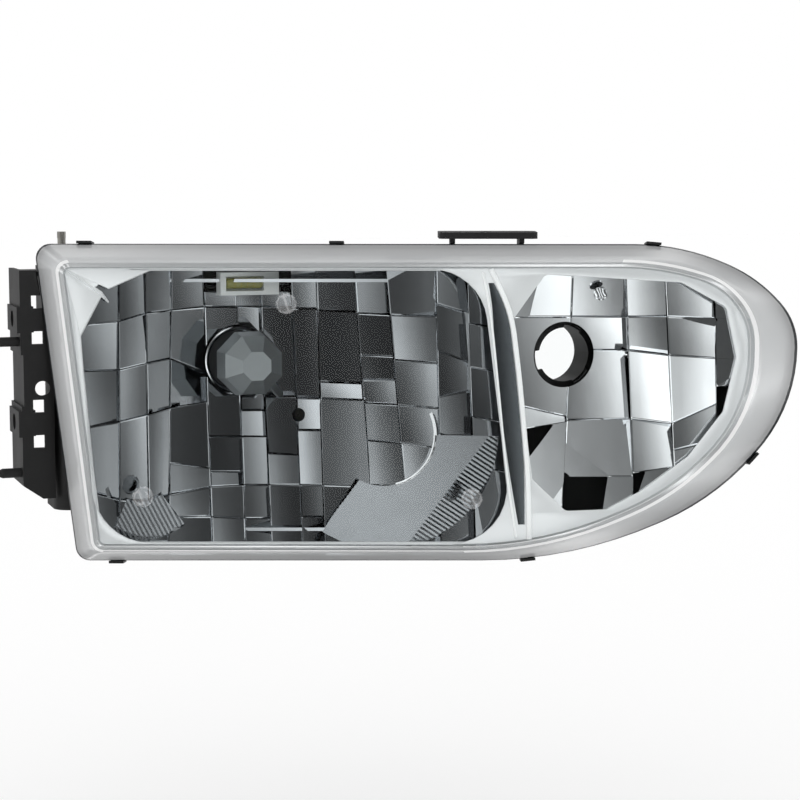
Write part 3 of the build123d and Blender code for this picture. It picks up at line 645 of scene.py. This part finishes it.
def fluted_plate(corners, slant, pitch, ridge, tone, rng, reach=62):
    """A ridged plate over a square of the lens plane; the ridges run down at an angle to the right."""
    middle = Vector((sum(c[0] for c in corners) / 4, sum(c[1] for c in corners) / 4))
    along = Vector((math.cos(slant), -math.sin(slant)))
    over = Vector((math.sin(slant), math.cos(slant)))
    plane = aimed_plane(corners, main_depth, tone, MAIN_EXIT, rng)
    count = int(2 * reach / pitch)
    rows = [k / (2 * count) for k in range(2 * count + 1)]

    def spot(s, t):
        return middle + along * ((s - 0.5) * 2 * reach) + over * ((t - 0.5) * 2 * reach)

    def recess(s, t):
        return ridge * (round(t * 2 * count) % 2)
    return ray_slab(spot, recess, plane, (0, 1), rows, FLUTE_THICKNESS)


def sector_rim(centre, inner, outer, start, end, steps=40):
    """A ring sector seen on the lens plane, as places some way behind it."""
    rim = []
    for radius, order in ((inner, range(steps + 1)), (outer, range(steps, -1, -1))):
        for k in order:
            angle = math.radians(start + (end - start) * k / steps)
            eye, way = sight_line(centre[0] + radius * math.cos(angle), centre[1] + radius * math.sin(angle))
            rim.append(eye + way * (EYE_DISTANCE + 60))
    return rim


# --- operators ---------------------------------------------------------------------------------
def sizes():
    """The sizes and colours of this scene."""
    return bpy.context.scene.lamp_sizes


# The floor in metres: how far below the lamp it lies, and how far it reaches each way.
FLOOR_GAP = 0.22
FLOOR_REACH = 12.0


class LAMP_OT_stage(bpy.types.Operator):
    """Makes the camera, the floor and the soft studio light"""
    bl_idname = "lamp.stage"
    bl_label = "Stage"

    def execute(self, context):
        scene = context.scene
        centre = LENS_CENTRE * MM
        camera = bpy.data.objects.new("camera", bpy.data.cameras.new("camera"))
        camera.data.lens = 90
        camera.data.sensor_width = 36
        camera.data.clip_end = 50
        turn = Matrix((ACROSS, UPWARD, NORMAL)).transposed().to_4x4()
        camera.matrix_world = Matrix.Translation(centre + NORMAL * EYE_DISTANCE * MM) @ turn
        scene.collection.objects.link(camera)
        scene.camera = camera
        scene.view_settings.view_transform = "Standard"
        self.world(scene)
        self.floor()
        return {"FINISHED"}

    def world(self, scene):
        """White all round; mirrors see it in soft bands of light and shade instead."""
        world = bpy.data.worlds.new("studio")
        world.use_nodes = True
        tree = world.node_tree
        tree.nodes.clear()
        way = add_node(tree, "ShaderNodeTexCoord").outputs["Generated"]
        phase = add_node(tree, "ShaderNodeVectorMath", {0: way, 1: STUDIO_WAVES}, operation="DOT_PRODUCT")
        wave = add_node(tree, "ShaderNodeMath", {0: phase.outputs["Value"]}, operation="COSINE")
        tone = add_node(tree, "ShaderNodeMapRange", {"Value": wave.outputs["Value"], "From Min": -1.0})
        lift = add_node(tree, "ShaderNodeMath", {0: STUDIO_SPAN, 1: tone.outputs["Result"]}, operation="POWER")
        bands = add_node(tree, "ShaderNodeMath", {0: lift.outputs["Value"], 1: STUDIO_FLOOR}, operation="MULTIPLY")
        ray = add_node(tree, "ShaderNodeLightPath")
        strength = add_node(tree, "ShaderNodeMix", {"Factor": ray.outputs["Is Glossy Ray"], "A": 1.0,
                                                    "B": bands.outputs["Value"]})
        light = add_node(tree, "ShaderNodeBackground", {"Color": colour("#ffffff"),
                                                        "Strength": strength.outputs["Result"]})
        add_node(tree, "ShaderNodeOutputWorld", {"Surface": light.outputs["Background"]})
        scene.world = world

    def floor(self):
        """A plain pale sheet that mirrors don't see."""
        low = cad_box[0][2] - FLOOR_GAP
        corners = [(x * FLOOR_REACH, y * FLOOR_REACH, low) for x, y in ((-1, -1), (1, -1), (1, 1), (-1, 1))]
        material, tree = new_material("pale_floor")
        shader = add_node(tree, "ShaderNodeBsdfPrincipled", {
            "Base Color": colour("#ffffff"), "Roughness": 0.9, "Specular IOR Level": 0.0})
        surface(tree, shader.outputs["BSDF"])
        floor = mesh_piece("floor", corners, [(0, 1, 2, 3)], material, smooth=False)
        floor.visible_glossy = False


class LAMP_OT_lens(bpy.types.Operator):
    """Makes the clear lens with its skirt, foot and three aiming pads"""
    bl_idname = "lamp.lens"
    bl_label = "Lens"

    def execute(self, context):
        wall = sizes().lens_wall / MM
        # Clear hard-coated polycarbonate for the face; its low index keeps the gloss faint head-on.
        clear = clear_polycarbonate("clear_polycarbonate", "#fdfefe", 1.17, 0.02)
        # The same moulding seen edge-on, where light piles up in the wall and it looks pale; that paleness is a
        # painted highlight, a milky white body.
        painted_edge_highlight = clear_polycarbonate("lens_edge_painted_highlight", "#fdfefe", 1.45, 0.12, 0.75, "#ffffff")
        outer = self.loops(0.0)
        inner = self.loops(wall)
        vertices, faces = loft(outer + inner[::-1], ring=True)
        vertices, faces = self.with_pads(vertices, faces)
        lens = mesh_piece("lens_moulding", vertices, faces, clear)
        lens.data.materials.append(painted_edge_highlight)
        # The skirt, seen at a slant, gets a pale milky body as a painted sheen on the clear moulding.
        lens.data.materials.append(clear_polycarbonate("lens_skirt_painted_sheen", "#fdfefe", 1.4, 0.04, 0.38,
                                                       "#f4f5f6"))
        lens.data.materials.append(moulded_plastic("lens_sealant", "#2c2e31", 0.35, 2.0, 0.02))
        lens.data.materials.append(clear_polycarbonate("pad_polycarbonate", "#f4f7fa", 1.9, 0.05, 0.12, "#ffffff"))
        self.mark_edge(lens.data)
        finish_piece(lens, "lamp_body", "clear_lens", "lens")
        return {"FINISHED"}

    def loops(self, depth):
        """Loops from the foot, up the skirt and over the face to its middle."""
        foot = 2.2 + depth
        rim = outline(RIM, depth)
        face = outline(FACE, depth)
        loops = [[lens_point(p.x, p.y, -34.5) for p in outline(RIM, foot)]]
        loops.append([lens_point(p.x, p.y, -30.2) for p in outline(RIM, foot)])
        if not depth:
            loops.append([lens_point(p.x, p.y, -30.0) for p in rim])
            loops.append([lens_point(p.x, p.y, -28.6) for p in rim])
        for share in (0.0, 0.07, 0.3, 0.5, 0.7, 0.93):
            loop = []
            for p, q in zip(rim, face):
                top = dome_height(q.x, q.y) - depth
                loop.append(lens_point(p.x + (q.x - p.x) * share, p.y + (q.y - p.y) * share,
                                       -28 + (top + 28) * share))
            loops.append(loop)
        for extra, drop in ((0.3, 0.9), (0.9, 0.25), (1.9, 0.0)):
            loops.append([lens_point(p.x, p.y, dome_height(p.x, p.y) - depth - drop)
                          for p in outline(FACE, depth + extra)])
        edge = outline(FACE, depth + 1.9)
        for scale in (0.96, 0.88, 0.76, 0.62, 0.48, 0.34, 0.2, 0.08):
            loops.append([lens_point(p.x * scale, p.y * scale, dome_height(p.x * scale, p.y * scale) - depth)
                          for p in edge])
        tip = lens_point(0, 0, dome_height(0, 0) - depth)
        loops.append([tip.copy() for _ in edge])
        return loops

    def with_pads(self, vertices, faces):
        """The lens with its three dished aiming pads on the face."""
        parts = [(vertices, faces)]
        for x, y in PADS:
            base = dome_height(x, y)
            parts.append(lathe(PAD_PROFILE, lambda a, b, h, x=x, y=y, base=base: lens_point(x + a, y + b, base + h)))
        return joined(*parts)

    def mark_edge(self, mesh):
        """Gives the face's edge its painted highlight, the skirt its painted sheen and the pads their own finish."""
        for polygon in mesh.polygons:
            local = polygon.center / MM - LENS_CENTRE
            z = local.dot(NORMAL)
            top = dome_height(local.dot(ACROSS), local.dot(UPWARD))
            facing = abs(polygon.normal.dot(NORMAL))
            if z < -26.6:
                polygon.material_index = 3
            elif z > top + 0.05:
                polygon.material_index = 4
            elif top - 3.1 < z and facing < 0.93:
                polygon.material_index = 1
            elif facing < 0.93:
                polygon.material_index = 2


class LAMP_OT_bezel(bpy.types.Operator):
    """Makes the bright trim plate, its skirt, its corner facets and the two fins"""
    bl_idname = "lamp.bezel"
    bl_label = "Bezel"

    def execute(self, context):
        # Metallised over a fine texture, so it reads as pale silver and not as a mirror.
        satin = satin_trim("bezel_satin_chrome", "#f3f4f5", 0.3, 0.22)
        plate = self.plate(satin)
        skirt = self.skirt()
        lines = self.fin_lines()
        fins = [self.fin(points, *section) for points, section in lines]
        trim = mesh_piece("bezel_skirt", *skirt, satin)
        # The fins get a near-white, almost unmetallic finish: a painted highlight, brighter than the same chrome on
        # the plate.
        blades = mesh_piece("bezel_fins", *joined(*fins), satin_trim("fin_painted_highlight", "#ffffff", 0.05, 0.3))
        finish_piece(blades, "lamp_body", "bright_chrome")
        # The channel between the fins is the trim's chrome darkened to grey: painted shade in the hollow.
        channel = mesh_piece("fin_channel", *self.channel(lines[0][0], lines[1][0]),
                             satin_trim("channel_painted_shade", "#565a5d", 0.9, 0.16))
        finish_piece(channel, "lamp_body", "bright_chrome")
        plate.name = "bezel_plate"
        finish_piece(plate, "lamp_body", "bright_chrome", "bezel")
        finish_piece(trim, "lamp_body", "bright_chrome")
        finish_piece(self.corner_panels(satin), "lamp_body", "bright_chrome")
        return {"FINISHED"}

    def plate(self, material):
        """The flat trim with its two openings and rounded edges."""
        curve = bpy.data.curves.new("bezel_plate", "CURVE")
        curve.dimensions = "2D"
        curve.fill_mode = "BOTH"
        curve.extrude = 0.7 * MM
        curve.bevel_depth = 0.5 * MM
        curve.bevel_resolution = 2
        for corners, inset in ((FACE, 4.1), (MAIN_OPENING, -0.5), (SIGNAL_OPENING, -0.5)):
            points = outline(corners, inset)
            spline = curve.splines.new("POLY")
            spline.points.add(len(points) - 1)
            spline.use_cyclic_u = True
            for target, p in zip(spline.points, points):
                target.co = (p.x * MM, p.y * MM, 0, 1)
        holder = bpy.data.objects.new("bezel_plate", curve)
        bpy.context.scene.collection.objects.link(holder)
        graph = bpy.context.evaluated_depsgraph_get()
        flat = bpy.data.meshes.new_from_object(holder.evaluated_get(graph))
        vertices = [lens_point(v.co.x / MM, v.co.y / MM, v.co.z / MM + BEZEL_MIDDLE) for v in flat.vertices]
        faces = [tuple(p.vertices) for p in flat.polygons]
        bpy.data.objects.remove(holder)
        return mesh_piece("bezel_plate", vertices, faces, material)

    def skirt(self):
        """The wall that runs from the plate back to the foot of the lens."""
        loops = []
        for corners, inset, z in ((FACE, 3.7, -8.6), (RIM, 5.5, -30.9), (RIM, 6.9, -30.9), (FACE, 5.1, -10.2)):
            loops.append([lens_point(p.x, p.y, z) for p in outline(corners, inset)])
        return loft(loops, ring=True)

    def fin_lines(self):
        """The two fins between the chambers: points along each, then tip, root and height."""
        thin = ((50, 77), (53.5, 58), (56, 40), (60, 0), (64.5, -45), (70, -83))
        bold = ((55, 79), (66, 53), (70.5, 25), (74.5, -15), (77, -48), (78, -84))
        return (thin, (0.6, 0.9, 3.0)), (bold, (1.3, 1.9, 5.0))

    def corner_panels(self, material):
        """Two sunk triangular panels and a ridge in the plate's upper left corner."""
        parts = []
        for panel in (((-203, 79), (-150, 78.5), (-176, 67)), ((-203, 77), (-180, 63), (-193, 38))):
            outer = [Vector(c) for c in panel]
            middle = (outer[0] + outer[1] + outer[2]) / 3
            loops = [[lens_point(c.x, c.y, -8.2) for c in outer]]
            loops.append([lens_point(*(c.lerp(middle, 0.06)), -7.5) for c in outer])
            loops.append([lens_point(*(c.lerp(middle, 0.3)), -7.75) for c in outer])
            parts.append(loft(loops))
        ridge = [((-204, 80), 0.5), ((-192, 72), 0.9), ((-181, 64.5), 1.2), ((-176, 59), 0.4)]
        loops = []
        for (x, y), half in ridge:
            loops.append([lens_point(x - half * 0.6, y - half, -8.3), lens_point(x, y, -8.0 + half),
                          lens_point(x + half * 0.6, y + half, -8.3)])
        parts.append(loft(loops))
        return mesh_piece("bezel_corner_panels", *joined(*parts), material)

    def channel(self, left, right):
        """The hollow strip between the two fins, darkened with painted shade."""
        pairs = list(zip(smooth_line(left, 10), smooth_line(right, 10)))
        loops = []
        for k, (a, b) in enumerate(pairs[4:-3]):
            share = (k + 4) / len(pairs)
            middle = ((a[0] + b[0]) / 2, (a[1] + b[1]) / 2)
            dip = 0.9 * math.sin(math.pi * share)
            half = (b[0] - a[0]) / 2 * math.sin(math.pi * share) ** 0.5 * 0.85
            section = ((-half, -7.5), (0, -7.5 - dip * 0.3), (half, -7.5), (half, -8.6), (-half, -8.6))
            loops.append([lens_point(middle[0] + x, middle[1], z) for x, z in section])
        return loft(loops)

    def fin(self, points, tip, root, height):
        """A blade that stands on the plate along a curved line."""
        spline = smooth_line(points, 10)
        loops = []
        for k, (x, y) in enumerate(spline):
            ahead = Vector(spline[min(k + 1, len(spline) - 1)]) - Vector(spline[max(k - 1, 0)])
            out = Vector((ahead.y, -ahead.x)).normalized()
            rise = height * math.sin(math.pi * min(max(k / (len(spline) - 1), 0.04), 0.96)) ** 0.4
            shoulder = BEZEL_FRONT + rise * 0.9
            section = ((-root, -10.0), (-tip, shoulder), (0.0, BEZEL_FRONT + rise), (tip, shoulder), (root, -10.0))
            loops.append([lens_point(x + out.x * a, y + out.y * a, z) for a, z in section])
        return loft(loops)


def smooth_line(points, steps):
    """A curve through 2-D points, by Catmull-Rom spans."""
    line = []
    padded = [points[0], *points, points[-1]]
    for a, b, c, d in zip(padded, padded[1:], padded[2:], padded[3:]):
        for k in range(steps):
            t = k / steps
            line.append(tuple(0.5 * (2 * q + (r - p) * t + (2 * p - 5 * q + 4 * r - s) * t * t
                                     + (3 * q - p - 3 * r + s) * t ** 3) for p, q, r, s in zip(a, b, c, d)))
    return line + [points[-1]]


class LAMP_OT_reflectors(bpy.types.Operator):
    """Makes the facets of both chambers, the bulb bead and the fluted corner"""
    bl_idname = "lamp.reflectors"
    bl_label = "Reflectors"

    def execute(self, context):
        settings = sizes()
        gap = settings.facet_gap / MM
        pitch = settings.flute_pitch / MM
        # Vacuum-metallised aluminium under lacquer: a grey mirror, softer where it is textured.
        chrome = metallised_chrome("reflector_chrome", settings.chrome, 0.03, 0.09, 30.0, 0.03)
        signal_chrome = metallised_chrome("signal_chrome", "#eceef0", 0.05, 0.1, 30.0, 0.04)
        fan_chrome = metallised_chrome("fluted_chrome", "#8a8d90", 0.1, 0.16, 30.0, 0.02)
        bead_chrome = metallised_chrome("bead_chrome", "#e6e8ea", 0.12, 0.2, 30.0, 0.02)
        dress(chrome, "headlamp_reflector")
        dress(signal_chrome, "signal_reflector")
        main = mesh_piece("headlamp_facets", *facets(MAIN_COLUMNS, MAIN_FOOT, main_depth, MAIN_EXIT,
                                                     settings.facet_seed, gap, FACET_SWELL), chrome,
                          crease=FACET_CREASE)
        cut(main, prism(MAIN_OPENING, 8, FACET_FRONT, -200), "INTERSECT")
        cut(main, sight_cutter(bore_rim(BULB, BULB_SEAT_Y, 22.5)), "DIFFERENCE")
        cut(main, sight_cutter(bore_rim(SHIELD_SCREW, 116, 4.4)), "DIFFERENCE")
        finish_piece(main, "aimed_reflector", "bright_chrome")
        bead = mesh_piece("bulb_bead", *bead_ring(BULB, BULB_SEAT_Y, 20.6, 1.7), bead_chrome)
        finish_piece(bead, "aimed_reflector", "bright_chrome")
        rng = random.Random(settings.facet_seed)
        lower_right = ((-30, -14), (52, -14), (52, -78), (-30, -78))
        for name, corners, sector, slant, tone, ridge, finish in (
                ("fluted_corner", lower_right, (ARC_CENTRE, ARC_RADIUS, 69, -1, -122), 33, 0.3, 0.12, fan_chrome),
                ("fluted_patch", ((-168, -60), (-138, -60), (-138, -80), (-168, -80)),
                 ((-156, -40), 21, 44, -52, -112), 62, 0.3, 0.12, fan_chrome),
                ("arc_step", lower_right, (ARC_CENTRE, ARC_RADIUS - 0.8, ARC_RADIUS + 1.0, 24, -76), 0, 0.97, 0,
                 bead_chrome)):
            plate = fluted_plate(corners, math.radians(slant), pitch, ridge, tone, rng)
            fan = mesh_piece(name, *plate, finish, smooth=False)
            cut(fan, sight_cutter(sector_rim(*sector)), "INTERSECT")
            cut(fan, prism(MAIN_OPENING, 8, FACET_FRONT, -200), "INTERSECT")
            finish_piece(fan, "aimed_reflector", "bright_chrome")
            cut(main, sight_cutter(sector_rim(*sector)), "DIFFERENCE")
        signal = mesh_piece("signal_facets", *facets(SIGNAL_COLUMNS, SIGNAL_FOOT, signal_depth, SIGNAL_EXIT,
                                                     settings.facet_seed + 4, gap, FACET_SWELL), signal_chrome,
                            crease=FACET_CREASE)
        cut(signal, prism(SIGNAL_OPENING, 3, FACET_FRONT, -200), "INTERSECT")
        cut(signal, sight_cutter(bore_rim(SIGNAL, 15.5, 20.6)), "DIFFERENCE")
        finish_piece(signal, "lamp_body", "bright_chrome", "signal_reflector")
        dimple = mesh_piece("signal_dimple", *lathe(
            ((0.0, -1.0), (4.2, -1.0), (4.2, 0.2), (3.4, 0.5), (2.6, 0.1), (1.2, -0.4), (0.0, -0.5)),
            lambda a, b, h: lens_point(122 + a, 64.8 + b, h - 17)), bead_chrome)
        finish_piece(dimple, "lamp_body", "bright_chrome")
        return {"FINISHED"}


class LAMP_OT_level(bpy.types.Operator):
    """Makes the spirit level's vial and its marks, and gives the clear holder its finish"""
    bl_idname = "lamp.level"
    bl_label = "Aiming level"

    def execute(self, context):
        # Clear moulded holder and a yellow-green spirit, both a little milky.
        holder = clear_polycarbonate("level_polycarbonate", "#eef1f0", 1.4, 0.05, 0.6, "#e8ebea")
        fluid = clear_polycarbonate("level_fluid", "#e6e4a4", 1.4, 0.03, 0.3, "#cfcf8a")
        dress(holder, "level_holder")
        low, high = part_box("level_vial")
        middle = (Vector(low) + Vector(high)) / 2
        radius = (high[2] - low[2]) / 2
        half = (high[0] - low[0]) / 2
        profile = [(0.0, -half), (radius * 0.7, -half), (radius, -half + 0.0012), (radius, half - 0.0012),
                   (radius * 0.7, half), (0.0, half)]
        tube = lathe(profile, lambda a, b, h: middle + Vector((h, a, b)), 24)
        vial = mesh_piece("level_vial_glass", *tube, fluid)
        finish_piece(vial, "aimed_reflector", "vial_fluid", "level_vial")
        ink = moulded_plastic("level_ink", "#8a7a2a", 0.5, 1.0, 0.01)
        marks = []
        for shift in (-0.006, -0.002, 0.002, 0.006):
            ring = [(radius + 0.00005, shift - 0.0002), (radius + 0.0002, shift - 0.0002),
                    (radius + 0.0002, shift + 0.0002), (radius + 0.00005, shift + 0.0002)]
            loops = [[middle + Vector((h, r * math.cos(2 * math.pi * k / 24), r * math.sin(2 * math.pi * k / 24)))
                      for k in range(24)] for r, h in ring]
            marks.append(loft(loops, ring=True))
        finish_piece(mesh_piece("level_marks", *joined(*marks), ink), "aimed_reflector", "level_clear")
        return {"FINISHED"}


class LAMP_OT_finishes(bpy.types.Operator):
    """Gives the carried-over parts their finishes"""
    bl_idname = "lamp.finishes"
    bl_label = "Finishes"

    def execute(self, context):
        settings = sizes()
        # Black mouldings: glass-filled polypropylene with a fine grain, smoother nylon clips, dull rubber.
        black = moulded_plastic("black_polypropylene", settings.plastic, 0.5, 0.9, 0.05)
        clip_black = moulded_plastic("clip_nylon_black", "#0b0b0c", 0.38, 0.7, 0.03)
        rubber = moulded_plastic("butyl_rubber", "#141415", 0.75, 0.6, 0.05)
        # Uncoloured nylon is creamy and slightly waxy; the bulb's base is moulded in grey.
        nylon = moulded_plastic("natural_nylon", "#dedbd0", 0.42, 1.2, 0.02)
        grey = moulded_plastic("grey_nylon", "#55585b", 0.45, 0.8, 0.03)
        # Bright zinc on turned steel, stamped brass blades and drawn tungsten wire.
        steel = turned_metal("zinc_plated_steel", "#a6a49e", 0.34, 0.5)
        brass = turned_metal("stamped_brass", "#b99b55", 0.3, 0.6)
        tungsten = turned_metal("drawn_tungsten", "#6b6a68", 0.4, 0.3)
        # The shield is metallised grey; the bulb is thin clear quartz.
        shield = satin_trim("shield_smoked_chrome", "#9da2a4", 0.75, 0.3)
        quartz = clear_polycarbonate("bulb_quartz", "#f5f8fb", 1.4, 0.01)
        dress(black, "housing", "housing_ribs", "top_tab", "side_bracket", "adjuster_gearbox", "gearbox_cover",
              "dust_cap")
        dress(clip_black, "lens_clips")
        dress(rubber, "lens_seal", "dust_cap_seal", "vent_cap", "bulb_o_ring")
        dress(nylon, "ball_cups", "pivot_cup", "adjuster_gear", "side_bushing", "side_wheel")
        dress(grey, "bulb_base", "bulb_locking_ring")
        dress(steel, "signal_screws", "shield_screw", "pivot_stud", "pivot_nut", "drive_shaft", "upper_rod",
              "side_rod")
        dress(brass, "bulb_terminals")
        dress(tungsten, "bulb_filaments")
        dress(shield, "bulb_shield")
        dress(quartz, "bulb_glass")
        return {"FINISHED"}


# Ribs on the rear wall in mm: the lowest one's middle in the lamp's axes, their spacing and their size.
FIRST_RIB = (-138, 151.2, -34)
RIB_SPACING = 8.6
RIB_SIZE = (26, 2.4, 1.6)


class LAMP_OT_rear_ribs(bpy.types.Operator):
    """Makes the row of stiffening ribs across the housing's rear wall"""
    bl_idname = "lamp.rear_ribs"
    bl_label = "Rear ribs"

    def execute(self, context):
        tree = self.tree()
        holder = mesh_piece("rear_ribs", [(0, 0, 0)], [], None, smooth=False)
        modifier = holder.modifiers.new("ribs", "NODES")
        modifier.node_group = tree
        inputs = {item.name: item.identifier for item in tree.interface.items_tree if item.in_out == "INPUT"}
        modifier[inputs["Count"]] = sizes().rib_count
        modifier[inputs["Start"]] = lamp_point(*FIRST_RIB)
        modifier[inputs["Step"]] = (0.0, 0.0, RIB_SPACING * MM)
        modifier[inputs["Size"]] = tuple(size * MM for size in RIB_SIZE)
        modifier[inputs["Material"]] = bpy.data.materials["black_polypropylene"]
        baked(holder)
        finish_piece(holder, "lamp_body", "black_housing")
        return {"FINISHED"}

    def tree(self):
        """A line of bars, each a plain block."""
        group = bpy.data.node_groups.new("rib_row", "GeometryNodeTree")
        face = group.interface
        face.new_socket("Geometry", in_out="INPUT", socket_type="NodeSocketGeometry")
        face.new_socket("Count", in_out="INPUT", socket_type="NodeSocketInt")
        for name in ("Start", "Step", "Size"):
            face.new_socket(name, in_out="INPUT", socket_type="NodeSocketVector")
        face.new_socket("Material", in_out="INPUT", socket_type="NodeSocketMaterial")
        face.new_socket("Geometry", in_out="OUTPUT", socket_type="NodeSocketGeometry")
        given = add_node(group, "NodeGroupInput")
        line = add_node(group, "GeometryNodeMeshLine", {
            "Count": given.outputs["Count"], "Start Location": given.outputs["Start"],
            "Offset": given.outputs["Step"]})
        bar = add_node(group, "GeometryNodeMeshCube", {"Size": given.outputs["Size"]})
        spread = add_node(group, "GeometryNodeInstanceOnPoints", {
            "Points": line.outputs["Mesh"], "Instance": bar.outputs["Mesh"]})
        real = add_node(group, "GeometryNodeRealizeInstances", {"Geometry": spread.outputs["Instances"]})
        painted = add_node(group, "GeometryNodeSetMaterial", {
            "Geometry": real.outputs["Geometry"], "Material": given.outputs["Material"]})
        add_node(group, "NodeGroupOutput", {"Geometry": painted.outputs["Geometry"]})
        return group


OPERATORS = (LAMP_OT_stage, LAMP_OT_finishes, LAMP_OT_lens, LAMP_OT_bezel, LAMP_OT_reflectors, LAMP_OT_level,
             LAMP_OT_rear_ribs)


class LAMP_PT_panel(bpy.types.Panel):
    """Lists the lamp's sizes and the operators that make its pieces"""
    bl_label = "Headlamp"
    bl_idname = "LAMP_PT_panel"
    bl_space_type = "VIEW_3D"
    bl_region_type = "UI"
    bl_category = "Headlamp"

    def draw(self, context):
        for name in LampSizes.__annotations__:
            self.layout.prop(context.scene.lamp_sizes, name)
        for operator in OPERATORS:
            self.layout.operator(operator.bl_idname)


CLASSES = (LampSizes, *OPERATORS, LAMP_PT_panel)


def register():
    for item in CLASSES:
        bpy.utils.register_class(item)
    bpy.types.Scene.lamp_sizes = PointerProperty(type=LampSizes)


def unregister():
    del bpy.types.Scene.lamp_sizes
    for item in reversed(CLASSES):
        bpy.utils.unregister_class(item)


def main():
    register()
    for operator in OPERATORS:
        group, name = operator.bl_idname.split(".")
        getattr(getattr(bpy.ops, group), name)()
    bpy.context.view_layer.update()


if __name__ == "__main__":
    main()
